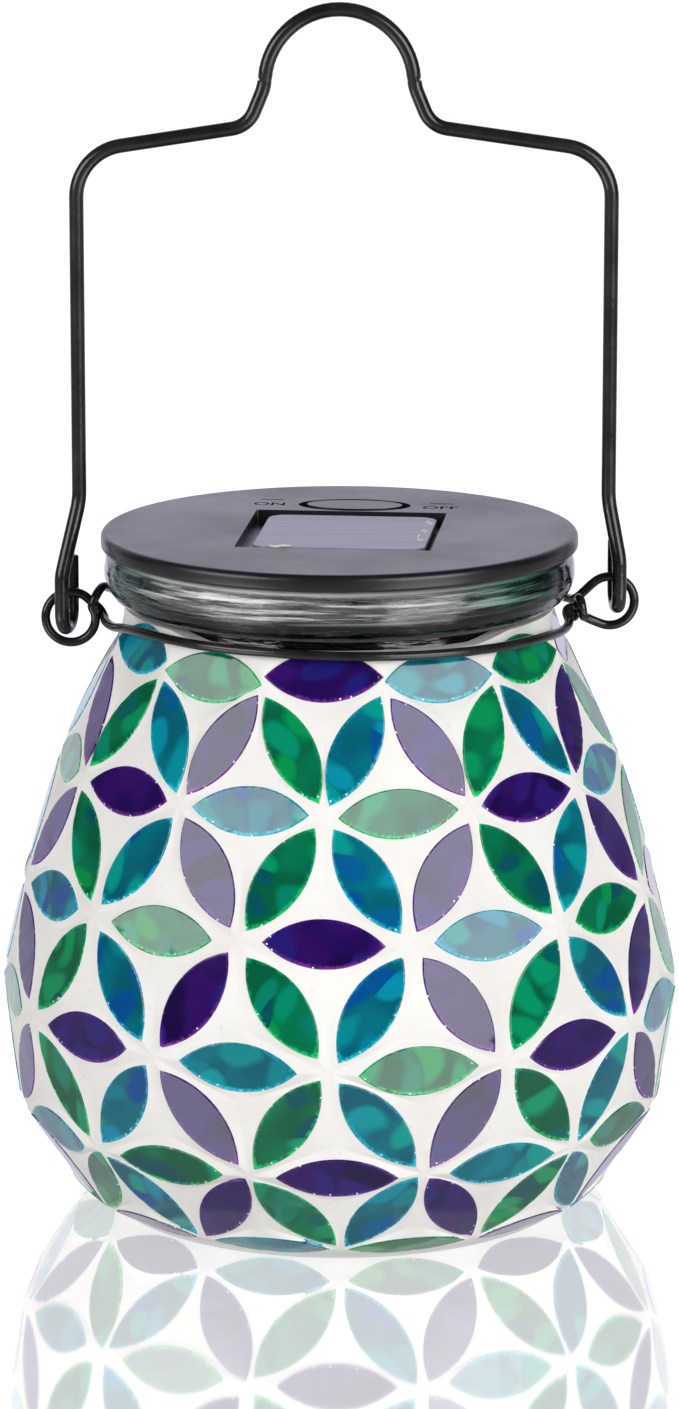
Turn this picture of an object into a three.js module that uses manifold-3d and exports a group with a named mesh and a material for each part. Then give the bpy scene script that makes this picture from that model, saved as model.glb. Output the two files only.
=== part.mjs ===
// Solar mosaic jar lantern: a clear glass jar covered in glass tiles and grout, a wire collar
// round its neck, a wire bail handle, and a lift-off lid that holds the solar light.
// Millimetres, +Z up, origin at the middle of the foot, front towards -Y.
import * as THREE from 'three';
import { mergeVertices } from 'three/addons/utils/BufferGeometryUtils.js';
import Module from 'manifold-3d';

const wasm = await Module();
wasm.setup();

// Driving dimensions

const gap = 0.3;                     // clearance between neighbouring pieces
const jarSegments = 36;              // sides of the glass jar and of the hollow behind the tiles

// Tile-face surface of the jar: radius and height, from the foot to the neck
const footEdge = [45.3, 0.4];
const neckEdge = [41.7, 118.0];
const ringRadii = [51.2, 63.0, 66.0, 61.8, 54.3, 44.6];
const ringHeights = [3.1, 21.3, 42.7, 65.4, 88.6, 110.4];

// Tiles: one lens shape, laid along every edge of a triangular net of rings
const nodesPerRing = 12;
const firstNodeAzimuth = -3;         // degrees from the front, towards +X
const tileLength = 23.0;
// Level and slanting rows by turns, from the foot to the neck
const tileWidths = [8.9, 9.0, 8.9, 9.1, 9.4, 9.4, 9.4, 9.4, 9.4, 8.9, 9.7];
const longestShare = 0.98;           // of the distance between two nodes
const handTilt = 2.2;                // degrees, most that a tile is laid off its line
const handSlip = 0.25;               // most that it is laid to one side of the line

// The net as it was laid by hand: how far the nodes of each ring lie sideways of and above their
// regular places, as [mean, more at the front, more at the right]
const netDrift = [
  { sideways: [1.4, 1.3, -0.4], above: [0, 0, 0] },
  { sideways: [1.1, 1.8, 1.1], above: [-0.4, -0.1, 0.9] },
  { sideways: [-0.6, 2.0, 0.2], above: [0.6, -1.1, -0.3] },
  { sideways: [-2.0, 2.4, 0.8], above: [0.4, -0.4, -0.5] },
  { sideways: [-1.9, 1.9, 0.4], above: [0.6, -0.8, -0.1] },
  { sideways: [-0.2, -0.6, -0.3], above: [0.6, 0, 0] },
];
// Each tile of the top row above the line between its nodes
const topRowLift = [0.3, 0.9, 0.4, 0.9, 0.1, 1.2, 0.4, 0.8, 0.2, 2.0, 0, 1.4];
const tileProud = 0.4;               // tile face above the grout
const tileArcPoints = 3;             // points inside each curved side
const mosaicDepth = 3.1;             // tile face to the hollow behind the grout
const wallStations = [10, 21.3, 42.7, 54, 65.4, 88.6, 110.4];   // heights of the wall's bends

// Glass jar
const jarWall = 3.0;
const jarFloor = 4.0;
const jarFootRadius = 41.5;
const pushUpRadius = 34;             // the foot's hollow
const pushUpHeight = 1.4;
const mouthRadius = 38.0;
const bead = { bottom: 118.4, top: 128.7, radius: 45.5, neck: 40.4 };

// Wires
const collarWire = 1.8;              // diameter
const collarRadius = 43.6;
const collarHeight = 117.3;          // at the back
const collarFront = [[-72, 115.6], [-60, 116.7], [-17, 116.85], [14, 116.35], [30, 116.05],
  [60, 115.5], [72, 114.8]];         // azimuth and height along the front
const leftEye = { x: -52.1, z: 114.9, radius: 4.85 };
const rightEye = { x: 52.4, z: 118.1, radius: 4.7 };
const wrap = { x: 47.4, y: -1.6, z: 117.1, radius: 1.82, pitch: 1.9, last: 390 };
const handleWire = 2.8;              // diameter
const hookReach = 3.5;               // hook's middle line from the eye's wire, front and back
const handleLeft = { leg: -50.2, hook: -52.8, pivot: 119.7, bottom: 112.9, skew: 0.8 };
const handleRight = { leg: 51.9, hook: 53.7, pivot: 122.8, bottom: 117.1, skew: 0.3 };
const hookTail = 6.5;                // tail's end above the pivot
const legBendHeight = 138;
const handleShape = { corner: 205.2, cornerRadius: 10, rootX: 17.4, root: 210.2, rootRadius: 5.5,
  archX: 14.2, archFoot: 218.0, archFootRadius: 8, top: 232.4 };

// Lid and its light
const lid = { radius: 46.1, bottom: 129.0, top: 132.3, edge: 1.2 };
const lidTurn = -5.7;                // degrees, the window and the switch against the handle
const recess = { x: 0.5, y: -1.1, width: 37.5, depth: 38, floor: 129.8 };
const panel = { size: 33, corner: 3.5, x: 0.7, bottom: 130.8, top: 131.9 };
const cellSize = 30.6;
const rocker = { x: 3.0, y: 24.5, length: 21.6, width: 11.9, bottom: 130.0, top: 132.6,
  stemLength: 5, stemWidth: 6, stemFoot: 129.2, dish: 0.7 };
const housing = { radius: 35.2, wall: 1.6, bottom: 108.0, top: 128.7 };
const screwCircle = 30;              // radius of the three screws that close the module
const screwTurns = [0, 120, 240];    // degrees
const bossRadius = 3;
const batterySize = { radius: 5.25, length: 44.5, nubRadius: 1.9, nub: 0.8 };
const batteryMiddle = { x: 1.2, y: 13, z: 113.3 };
const boardSize = { x: 0, y: -9, width: 28, depth: 15, bottom: 116.5, thickness: 1.2 };
const ledSpot = { x: 0, y: -8 };

const black = { color: 0x1c1b1d, roughness: 0.5, metalness: 0 };
const wirePaint = { color: 0x161616, roughness: 0.35, metalness: 0.6 };
const glass = { color: 0xdde6e4, roughness: 0.06, metalness: 0 };
const groutPaint = { color: 0xf1ede7, roughness: 0.8, metalness: 0 };
const steel = { color: 0xb9bcc0, roughness: 0.3, metalness: 1 };
const whitePlastic = { color: 0xe9e9e6, roughness: 0.45, metalness: 0 };

const radians = THREE.MathUtils.degToRad;
const at = (x, y, z) => new THREE.Vector3(x, y, z);
const lantern = new THREE.Group();

function addPiece(name, geometry, look, parent = lantern) {
  const mesh = new THREE.Mesh(geometry, new THREE.MeshStandardMaterial(look));
  mesh.name = name;
  parent.add(mesh);
  return mesh;
}

// Booleans: closed geometry in, closed geometry out

function toSolid(geometry) {
  const bare = geometry.clone();
  bare.deleteAttribute('normal');
  bare.deleteAttribute('uv');
  const merged = mergeVertices(bare, 1e-4);
  const index = merged.index.array;
  const corners = [];
  for (let i = 0; i < index.length; i += 3) {
    const [a, b, c] = [index[i], index[i + 1], index[i + 2]];
    if (a !== b && b !== c && c !== a) corners.push(a, b, c);
  }
  return new wasm.Manifold(new wasm.Mesh({
    numProp: 3,
    vertProperties: new Float32Array(merged.attributes.position.array),
    triVerts: new Uint32Array(corners),
  }));
}

function toGeometry(solid) {
  const mesh = solid.getMesh();
  const geometry = new THREE.BufferGeometry();
  geometry.setAttribute('position', new THREE.BufferAttribute(mesh.vertProperties, 3));
  geometry.setIndex(new THREE.BufferAttribute(mesh.triVerts, 1));
  geometry.computeVertexNormals();
  return geometry;
}

function joined(first, ...others) {
  return toGeometry(others.reduce((solid, other) => solid.add(toSolid(other)), toSolid(first)));
}

function cut(body, ...tools) {
  return toGeometry(tools.reduce((solid, tool) => solid.subtract(toSolid(tool)), toSolid(body)));
}

// Plain forms, all standing along +Z

function revolve(points, segments = 32) {
  const closed = points[0][0] === 0 ? points : [...points, points[0]];
  const profile = closed.map(([r, z]) => new THREE.Vector2(r, z));
  return new THREE.LatheGeometry(profile, segments).rotateX(Math.PI / 2);
}

function post(radius, bottom, top, x = 0, y = 0, sides = 16) {
  return new THREE.CylinderGeometry(radius, radius, top - bottom, sides)
    .rotateX(Math.PI / 2).translate(x, y, (bottom + top) / 2);
}

function block(width, depth, bottom, top, x = 0, y = 0) {
  return new THREE.BoxGeometry(width, depth, top - bottom).translate(x, y, (bottom + top) / 2);
}

function slab(outline, bottom, top) {
  const options = { depth: top - bottom, bevelEnabled: false, curveSegments: 3 };
  return new THREE.ExtrudeGeometry(outline, options).translate(0, 0, bottom);
}

function roundedSquare(size, corner) {
  const [h, c] = [size / 2, corner];
  const shape = new THREE.Shape();
  shape.moveTo(-h + c, -h).lineTo(h - c, -h).absarc(h - c, -h + c, c, -Math.PI / 2, 0);
  shape.lineTo(h, h - c).absarc(h - c, h - c, c, 0, Math.PI / 2);
  shape.lineTo(-h + c, h).absarc(-h + c, h - c, c, Math.PI / 2, Math.PI);
  shape.lineTo(-h, -h + c).absarc(-h + c, -h + c, c, Math.PI, Math.PI * 1.5);
  return shape;
}

function ellipse(length, width, points = 28) {
  const turns = Array.from({ length: points }, (_, i) => (i / points) * Math.PI * 2);
  return new THREE.Shape(turns.map((a) =>
    new THREE.Vector2((Math.cos(a) * length) / 2, (Math.sin(a) * width) / 2)));
}

// Bent wire: a round section along rings that lie close together only in the bends

class WireLine extends THREE.Curve {
  constructor(rings) {
    super();
    this.rings = rings;
  }

  getPoint(t, target = new THREE.Vector3()) {
    const last = this.rings.length - 1;
    const place = THREE.MathUtils.clamp(t, 0, 1) * last;
    const i = Math.min(Math.floor(place), last - 1);
    return target.lerpVectors(this.rings[i], this.rings[i + 1], place - i);
  }

  getUtoTmapping(u) {
    return u;
  }
}

function wire(rings, diameter, sides) {
  const section = new THREE.Shape(Array.from({ length: sides }, (_, i) => {
    const turn = (i / sides) * Math.PI * 2;
    return new THREE.Vector2(Math.cos(turn), Math.sin(turn)).multiplyScalar(diameter / 2);
  }));
  const extrudePath = new WireLine(rings);
  return new THREE.ExtrudeGeometry(section, { steps: rings.length - 1, extrudePath });
}

// Straight runs with a round bend at each inner point; a corner is [point, bend radius]
function bentRun(corners, stepDegrees = 20) {
  const rings = [corners[0][0]];
  for (let i = 1; i < corners.length - 1; i++) {
    const [corner, radius] = corners[i];
    const into = corner.clone().sub(corners[i - 1][0]).normalize();
    const out = corners[i + 1][0].clone().sub(corner).normalize();
    const turn = into.angleTo(out);
    const setback = radius * Math.tan(turn / 2);
    const start = corner.clone().addScaledVector(into, -setback);
    const side = out.clone().addScaledVector(into, -out.dot(into)).normalize();
    const steps = Math.max(2, Math.ceil(turn / radians(stepDegrees)));
    for (let s = 0; s <= steps; s++) {
      const a = (turn * s) / steps;
      rings.push(start.clone()
        .addScaledVector(into, radius * Math.sin(a))
        .addScaledVector(side, radius * (1 - Math.cos(a))));
    }
  }
  rings.push(corners[corners.length - 1][0]);
  return rings;
}

// The jar's tile-face surface, as a smooth line of radius against height

const surfaceLine = new THREE.CatmullRomCurve3(
  [footEdge, ...ringRadii.map((r, k) => [r, ringHeights[k]]), neckEdge].map(([r, z]) => at(r, 0, z)),
  false, 'centripetal').getPoints(140);

function surfaceRadius(z) {
  const k = surfaceLine.findIndex((point) => point.z >= z);
  if (k <= 0) return k === 0 ? surfaceLine[0].x : surfaceLine[surfaceLine.length - 1].x;
  const [low, high] = [surfaceLine[k - 1], surfaceLine[k]];
  return THREE.MathUtils.mapLinear(z, low.z, high.z, low.x, high.x);
}

function onSurface(azimuth, z, radius = surfaceRadius(z)) {
  const a = radians(azimuth);
  return at(radius * Math.sin(a), -radius * Math.cos(a), z);
}

function surfaceNormal(azimuth, z, reach) {
  const low = Math.max(z - reach, footEdge[1]);
  const high = Math.min(z + reach, neckEdge[1]);
  const slope = (surfaceRadius(high) - surfaceRadius(low)) / (high - low);
  const a = radians(azimuth);
  return at(Math.sin(a), -Math.cos(a), -slope).normalize();
}

// Glass jar

function jarProfile() {
  const inset = mosaicDepth + gap;
  const outer = wallStations.map((z) => [surfaceRadius(z) - inset, z]);
  const inner = outer.slice(1).map(([r, z]) => [r - jarWall, z]).reverse();
  const neckOutside = neckEdge[0] - inset;
  const middle = (bead.bottom + bead.top) / 2;
  return [
    [0, pushUpHeight], [pushUpRadius, pushUpHeight], [pushUpRadius + 2, 0], [jarFootRadius, 0],
    [jarFootRadius, 1.6], [47.4, 3.6], ...outer,
    [neckOutside, neckEdge[1] - 1], [neckOutside, bead.bottom - 0.1],
    [bead.neck, bead.bottom], [43.3, 119.5], [44.9, 121.3], [bead.radius, middle + 0.8],
    [bead.radius - 0.3, bead.top - 1.4], [bead.radius - 1.5, bead.top], [mouthRadius + 0.8, bead.top],
    [mouthRadius, bead.top - 0.8], [mouthRadius, bead.bottom - 1.2],
    [neckOutside - jarWall, neckEdge[1] - 4], ...inner,
    [36, jarFloor], [0, jarFloor],
  ];
}

addPiece('glass_jar', revolve(jarProfile(), jarSegments), glass);

// Tiles and grout. Net node (ring, step): a step is half the distance between two nodes.

const stepDegrees = 360 / (2 * nodesPerRing);
const nodeAzimuth = (step) => firstNodeAzimuth + step * stepDegrees;
const nodePoint = (node) => onSurface(node.azimuth, node.z);

function netNode(ring, step) {
  const a = radians(nodeAzimuth(step));
  const drift = ([mean, front, right]) => mean + front * Math.cos(a) + right * Math.sin(a);
  const turn = THREE.MathUtils.radToDeg(drift(netDrift[ring].sideways) / ringRadii[ring]);
  const z = ringHeights[ring] + drift(netDrift[ring].above);
  return { ring, step, azimuth: nodeAzimuth(step) + turn, z };
}

// A repeatable number from 0 to 1 for a tile
function chance(tile, salt) {
  const value = Math.sin(tile * 12.9898 + salt * 78.233) * 43758.5453;
  return value - Math.floor(value);
}

// A tile between two nodes: its middle, its own axes, its half width and half length
function tileFrame(from, to) {
  const z = (from.z + to.z) / 2;
  const bulge = tileWidths[from.ring + to.ring] / 2;
  const span = nodePoint(from).distanceTo(nodePoint(to));
  const share = Math.min(longestShare, tileLength / span) / 2;
  const tip = (t) => onSurface(
    THREE.MathUtils.lerp(from.azimuth, to.azimuth, t), THREE.MathUtils.lerp(from.z, to.z, t));
  const [first, last] = [tip(0.5 - share), tip(0.5 + share)];
  const middle = first.clone().add(last).multiplyScalar(0.5);
  const line = last.clone().sub(first).normalize();
  const rough = surfaceNormal((from.azimuth + to.azimuth) / 2, z, bulge * 0.8);
  const normal = rough.addScaledVector(line, -rough.dot(line)).normalize();

  const steps = 2 * nodesPerRing;
  const tile = ((from.step + to.step) % (2 * steps)) + 2 * steps * (from.ring + to.ring);
  const topRow = from.ring === to.ring && to.ring === ringHeights.length - 1;
  const lift = topRow ? topRowLift[((from.step - 1) / 2) % nodesPerRing] : 0;
  const slip = lift + handSlip * (2 * chance(tile, 2) - 1);
  middle.addScaledVector(normal.clone().cross(line), slip);
  const along = line.applyAxisAngle(normal, radians(handTilt) * (2 * chance(tile, 1) - 1));
  const across = normal.clone().cross(along);
  return { middle, along, across, normal, bulge, half: first.distanceTo(last) / 2 };
}

// One curved side of the lens, tip to tip, on side +1 or -1, sunk by a depth
function lensSide(frame, side, depth) {
  const { bulge } = frame;
  const arcRadius = (frame.half ** 2 + bulge ** 2) / (2 * bulge);
  const sweep = Math.asin(frame.half / arcRadius);
  const points = [];
  for (let i = 0; i <= tileArcPoints + 1; i++) {
    const a = sweep * ((2 * i) / (tileArcPoints + 1) - 1);
    points.push(frame.middle.clone()
      .addScaledVector(frame.along, arcRadius * Math.sin(a))
      .addScaledVector(frame.across, side * (arcRadius * Math.cos(a) - arcRadius + bulge))
      .addScaledVector(frame.normal, -depth));
  }
  return points;
}

function mosaicOutside() {
  const corners = [];
  const face = (a, b, c) => corners.push(...a.toArray(), ...b.toArray(), ...c.toArray());

  // Fills a loop of points that runs anticlockwise seen from outside
  function fill(loop, outward) {
    const right = at(0, 0, 1).cross(outward).normalize();
    const up = outward.clone().cross(right);
    const flat = loop.map((p) => new THREE.Vector2(p.dot(right), p.dot(up)));
    for (const [a, b, c] of THREE.ShapeUtils.triangulateShape(flat, [])) {
      face(loop[a], loop[b], loop[c]);
    }
  }

  // One side of a grout patch, from node to node round the tile between them
  function patchSide(from, to) {
    const swap = from.ring > to.ring || (from.ring === to.ring && from.step > to.step);
    const frame = swap ? tileFrame(to, from) : tileFrame(from, to);
    const arc = lensSide(frame, swap ? -1 : 1, tileProud);
    return [nodePoint(from), ...(swap ? arc.reverse() : arc)];
  }

  function addTile(from, to) {
    const frame = tileFrame(from, to);
    const [left, right] = [lensSide(frame, 1, 0), lensSide(frame, -1, 0)];
    for (const [side, top] of [[1, left], [-1, right]]) {
      const foot = lensSide(frame, side, tileProud);
      for (let i = 0; i < top.length - 1; i++) {
        const quad = [foot[i], top[i], top[i + 1], foot[i + 1]];
        if (side < 0) quad.reverse();
        face(quad[0], quad[1], quad[2]);
        face(quad[0], quad[2], quad[3]);
      }
    }
    for (let i = 0; i < left.length - 1; i++) {
      if (i > 0) face(right[i], right[i + 1], left[i]);
      if (i < left.length - 2) face(left[i], right[i + 1], left[i + 1]);
    }
  }

  const lastRing = ringHeights.length - 1;
  for (let ring = 0; ring <= lastRing; ring++) {
    for (let i = 0; i < nodesPerRing; i++) {
      const step = 2 * i + (ring % 2);
      const [node, next] = [netNode(ring, step), netNode(ring, step + 2)];
      addTile(node, next);
      if (ring < lastRing) {
        const [above, aboveNext] = [netNode(ring + 1, step + 1), netNode(ring + 1, step + 3)];
        addTile(node, above);
        addTile(next, above);
        const z = (node.z + above.z) / 2;
        fill([...patchSide(node, next), ...patchSide(next, above), ...patchSide(above, node)],
          surfaceNormal(above.azimuth, z, 8));
        fill([...patchSide(aboveNext, above), ...patchSide(above, next),
          ...patchSide(next, aboveNext)], surfaceNormal(next.azimuth, z, 8));
      }
      const between = (node.azimuth + next.azimuth) / 2;
      const edge = ([radius, z]) =>
        [node.azimuth, between, next.azimuth].map((azimuth) => onSurface(azimuth, z, radius));
      if (ring === lastRing) {
        const [first, middle, last] = edge(neckEdge);
        fill([...patchSide(node, next), nodePoint(next), last, middle, first],
          surfaceNormal(between, 114, 4));
        face(at(0, 0, neckEdge[1]), first, middle);
        face(at(0, 0, neckEdge[1]), middle, last);
      }
      if (ring === 0) {
        const [first, middle, last] = edge(footEdge);
        fill([...patchSide(next, node), nodePoint(node), first, middle, last],
          surfaceNormal(between, 2, 3));
        face(at(0, 0, footEdge[1]), middle, first);
        face(at(0, 0, footEdge[1]), last, middle);
      }
    }
  }
  const geometry = new THREE.BufferGeometry();
  geometry.setAttribute('position', new THREE.Float32BufferAttribute(corners, 3));
  return geometry;
}

function mosaicHollow() {
  const wall = [ringHeights[0], ...wallStations].map((z) => [surfaceRadius(z) - mosaicDepth, z]);
  const [foot, neck] = [footEdge[0] - mosaicDepth, neckEdge[0] - mosaicDepth];
  return revolve([[0, footEdge[1] - 5], [foot, footEdge[1] - 5], [foot, footEdge[1] + 0.8], ...wall,
    [neck, neckEdge[1] - 1], [neck, neckEdge[1] + 5], [0, neckEdge[1] + 5]], jarSegments);
}

addPiece('mosaic_shell', cut(mosaicOutside(), mosaicHollow()), groutPaint);

// Wire collar: the front half ring, the left eye, the back half ring, the right eye, and the
// tail wrapped round the ring's front end. Each stop is [point, rings up to the next stop].

function collarRings() {
  const stops = [];
  const stop = (x, y, z, rings = 3) => stops.push([at(x, y, z), rings]);
  const ringStop = (azimuth, z) => {
    const radius = Math.max(collarRadius, surfaceRadius(z) + 1.5);
    stop(radius * Math.sin(radians(azimuth)), -radius * Math.cos(radians(azimuth)), z, 1);
  };
  const coarse = 9;                                    // degrees between rings on the round runs
  const frontHeight = (azimuth) => {
    const k = collarFront.findIndex(([turn], i) => i > 0 && turn >= azimuth);
    const [[from, low], [to, high]] = [collarFront[k - 1], collarFront[k]];
    return THREE.MathUtils.mapLinear(azimuth, from, to, low, high);
  };

  stop(wrap.x, wrap.y, wrap.z, 1);
  stop(44.8, wrap.y, wrap.z, 1);
  stop(43.9, -2.8, 116.6, 2);
  stop(44.3, -4.6, 115.2, 2);
  stop(44.0, -7.2, 114.7, 2);
  for (let a = 72; a >= -72; a -= coarse) ringStop(a, frontHeight(a));
  stop(-43.6, -9.2, 114.9, 2);
  stop(-45.2, -4.0, 114.9, 2);
  stop(-45.6, -0.9, 115.2, 2);
  stop(-46.6, 0.9, 116.4, 1);
  for (let turn = 40; turn <= 390; turn += 17.5) {
    const lean = THREE.MathUtils.mapLinear(turn, 40, 390, 0.8, -1.5);
    stop(leftEye.x + leftEye.radius * Math.cos(radians(turn)), lean,
      leftEye.z + leftEye.radius * Math.sin(radians(turn)), 1);
  }
  stop(-47.1, -1.2, 119.3, 2);
  stop(-46.1, 1.0, 120.5, 2);
  stop(-45.0, 5.0, 119.7, 2);
  stop(-43.4, 9.6, 118.2, 2);
  for (let a = -111; a >= -255; a -= coarse) ringStop(a, collarHeight);
  stop(44.5, 7.4, 117.1, 2);
  stop(46.0, 3.7, 117.9, 2);
  for (let turn = 126; turn >= -108; turn -= 18) {
    const lean = THREE.MathUtils.mapLinear(turn, 126, -108, 0.6, -0.7);
    stop(rightEye.x + rightEye.radius * Math.cos(radians(turn)), lean,
      rightEye.z + rightEye.radius * Math.sin(radians(turn)), 1);
  }
  for (let turn = 0; turn <= wrap.last; turn += 30) {
    const a = radians(turn);
    stop(wrap.x - (wrap.pitch * turn) / 360, wrap.y - wrap.radius * Math.sin(a),
      wrap.z - wrap.radius * Math.cos(a), 1);
  }

  const line = new THREE.CatmullRomCurve3(stops.map(([point]) => point), false, 'centripetal');
  const rings = [];
  for (let i = 0; i < stops.length - 1; i++) {
    const count = stops[i][1];
    for (let s = 0; s < count; s++) rings.push(line.getPoint((i + s / count) / (stops.length - 1)));
  }
  rings.push(stops[stops.length - 1][0]);
  return rings;
}

addPiece('neck_wire', wire(collarRings(), collarWire, 6), wirePaint);

// Bail handle: a closed hook through each eye, legs, shoulders and the arch it hangs by

function handleSide(side, sign) {
  const shape = handleShape;
  const [front, back] = [side.hook + sign * side.skew, side.hook - sign * side.skew];
  return [
    [at(back, hookReach, side.pivot + hookTail), 0],
    [at(back, hookReach, side.bottom), hookReach - 0.05],
    [at(front, -hookReach, side.bottom), hookReach - 0.05],
    [at(front, -hookReach, side.pivot + 4), 8],
    [at(side.leg, 0, legBendHeight), 12],
    [at(side.leg, 0, shape.corner), shape.cornerRadius],
    [at(sign * shape.rootX, 0, shape.root), shape.rootRadius],
    [at(sign * shape.archX, 0, shape.archFoot), shape.archFootRadius],
    [at(sign * shape.archX, 0, shape.top), shape.archX - 0.05],
  ];
}

const handleCorners = [...handleSide(handleLeft, -1), ...handleSide(handleRight, 1).reverse()];
addPiece('bail_handle', wire(bentRun(handleCorners), handleWire, 8), wirePaint);

// Lid cap: round disc with the panel's window, the switch's hole and three screw bosses

const lidGroup = new THREE.Group();
lantern.add(lidGroup);
const onLid = (geometry, x = 0, y = 0) => geometry.rotateZ(radians(lidTurn)).translate(x, y, 0);
const screwSpots = screwTurns.map((turn) =>
  [screwCircle * Math.cos(radians(turn)), screwCircle * Math.sin(radians(turn))]);

function lidCap() {
  const { radius, bottom, top, edge } = lid;
  const disc = revolve([[0, bottom], [radius - edge, bottom], [radius - 0.3, bottom + 0.4],
    [radius, bottom + 1], [radius, top - edge], [radius - 0.4, top - 0.4], [radius - edge, top],
    [0, top]], 48);
  const bosses = screwSpots.map(([x, y]) => post(bossRadius, housing.bottom + housing.wall + gap,
    bottom + 0.5, x, y));
  const pocket = onLid(block(recess.width, recess.depth, recess.floor, top + 1), recess.x, recess.y);
  const hole = ellipse(rocker.length + 2 * gap, rocker.width + 2 * gap);
  const oval = onLid(slab(hole, bottom - 1, top + 1), rocker.x, rocker.y);
  const leadHole = post(2.4, bottom - 1, top, -8, ledSpot.y);
  const pilots = screwSpots.map(([x, y]) => post(1.3, housing.bottom, housing.bottom + 11, x, y, 10));
  return cut(joined(disc, ...bosses), pocket, oval, leadHole, ...pilots);
}

addPiece('lid_cap', lidCap(), black, lidGroup);

function rockerCap() {
  const cap = onLid(slab(ellipse(rocker.length, rocker.width), rocker.bottom, rocker.top),
    rocker.x, rocker.y);
  const dishRadius = (((rocker.length - 3) / 2) ** 2 + rocker.dish ** 2) / (2 * rocker.dish);
  const dish = onLid(new THREE.CylinderGeometry(dishRadius, dishRadius, rocker.width * 2, 160),
    rocker.x, rocker.y).translate(0, 0, rocker.top - rocker.dish + dishRadius);
  const stem = onLid(block(rocker.stemLength, rocker.stemWidth, rocker.stemFoot, rocker.bottom + 0.3),
    rocker.x, rocker.y);
  return cut(joined(cap, stem), dish);
}

addPiece('rocker_cap', rockerCap(), black, lidGroup);

addPiece('switch_body', joined(
  onLid(block(27, 9, 127.7, housing.top), rocker.x, rocker.y),
  onLid(block(14, 7, 121.5, 128), rocker.x, rocker.y)), black, lidGroup);

addPiece('solar_cell', onLid(block(cellSize, cellSize, recess.floor + gap, recess.floor + 0.7),
  recess.x, recess.y), { color: 0x1b2350, roughness: 0.2, metalness: 0.1 }, lidGroup);
addPiece('panel_window', onLid(
  slab(roundedSquare(panel.size, panel.corner), panel.bottom, panel.top),
  recess.x + panel.x, recess.y), { color: 0xb9b4c6, roughness: 0.1, metalness: 0 }, lidGroup);

// Module housing: a cup in the jar's mouth, with battery bay, board posts and screw seats

const doorScrews = [[-15, 4], [15, 4]];
const boardPosts = [[-12, -14.5], [12, -14.5], [-12, -3.5], [12, -3.5]];

function moduleHousing() {
  const { radius, wall, bottom, top } = housing;
  const floor = bottom + wall;
  const cup = revolve([[0, bottom], [radius - 1, bottom], [radius, bottom + 1], [radius, top],
    [radius - wall, top], [radius - wall, floor], [0, floor]], 36);
  const seats = doorScrews.map(([x, y]) => post(2.2, floor - 0.5, floor + 4, x, y, 12));
  const posts = boardPosts.map(([x, y]) => post(1.6, floor - 0.5, boardSize.bottom - gap, x, y, 10));
  const endWalls = [-27.2, 25.1].map((x) => block(1.2, 10, floor - 0.5, floor + 9, x, batteryMiddle.y));
  const bay = block(48.6, 12, bottom - 1, floor + 1, -0.9, batteryMiddle.y);
  const light = post(6.2, bottom - 1, floor + 1, ledSpot.x, ledSpot.y, 24);
  const screwHoles = screwSpots.map(([x, y]) => post(1.4, bottom - 1, floor + 1, x, y, 10));
  const pilots = doorScrews.map(([x, y]) => post(1.3, bottom - 1, floor + 3, x, y, 10));
  return cut(joined(cup, ...seats, ...posts, ...endWalls), bay, light, ...screwHoles, ...pilots);
}

addPiece('module_housing', moduleHousing(), black, lidGroup);

const doorTop = housing.bottom - gap;
addPiece('battery_door', cut(block(52.5, 18.6, doorTop - 1.4, doorTop, -0.4, 10.9),
  ...doorScrews.map(([x, y]) => post(1.4, doorTop - 2, doorTop + 1, x, y, 10))), black, lidGroup);

function screw(headTop, shankTop, x, y) {
  const [shank, head] = [0.95, 2.3];
  return revolve([[0, headTop - 1.2], [head - 0.6, headTop - 1.2], [head, headTop],
    [shank, headTop], [shank, shankTop - 0.8], [0, shankTop]], 10).translate(x, y, 0);
}

doorScrews.forEach(([x, y], i) => addPiece(`door_screw_${i + 1}`,
  screw(doorTop - 1.4 - gap, housing.bottom + housing.wall + 2, x, y), steel, lidGroup));
screwSpots.forEach(([x, y], i) => addPiece(`housing_screw_${i + 1}`,
  screw(housing.bottom - gap, housing.bottom + 9, x, y), steel, lidGroup));

const sealInside = housing.radius + gap;
addPiece('seal_ring', revolve([[sealInside, 119.8], [mouthRadius - 1.2, 119.8],
  [mouthRadius - gap, 120.6], [mouthRadius - 1.2, 121.6], [mouthRadius - gap, 122.6],
  [mouthRadius - 1.2, 123.8], [sealInside, 123.8]], 30),
{ color: 0xd8dad6, roughness: 0.6, metalness: 0 }, lidGroup);

// Battery, its contacts, the board and its light

function lyingCell() {
  const { radius, length, nubRadius, nub } = batterySize;
  const [low, high] = [-length / 2, length / 2 - nub];
  return revolve([[0, low], [radius - 0.5, low], [radius, low + 0.5], [radius, high - 0.5],
    [radius - 0.5, high], [nubRadius, high], [nubRadius, high + nub], [0, high + nub]], 14)
    .rotateY(Math.PI / 2).translate(batteryMiddle.x, batteryMiddle.y, batteryMiddle.z);
}

addPiece('battery', lyingCell(), { color: 0x3f8f4f, roughness: 0.35, metalness: 0.2 }, lidGroup);
addPiece('plate_contact', block(0.4, 8, 110.2, 117.2, 23.95, batteryMiddle.y), steel, lidGroup);

function springContact() {
  const [coils, ringsPerCoil, wireSize] = [3, 9, 0.6];
  const [wide, narrow] = [3.4, 2.0];
  const [from, to] = [-25.6, -21.9];
  const rings = Array.from({ length: coils * ringsPerCoil + 1 }, (_, i) => {
    const share = i / (coils * ringsPerCoil);
    const a = share * coils * Math.PI * 2;
    const r = THREE.MathUtils.lerp(wide, narrow, share);
    return at(THREE.MathUtils.lerp(from, to, share), batteryMiddle.y + r * Math.cos(a),
      batteryMiddle.z + r * Math.sin(a));
  });
  return wire(rings, wireSize, 5);
}

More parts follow.
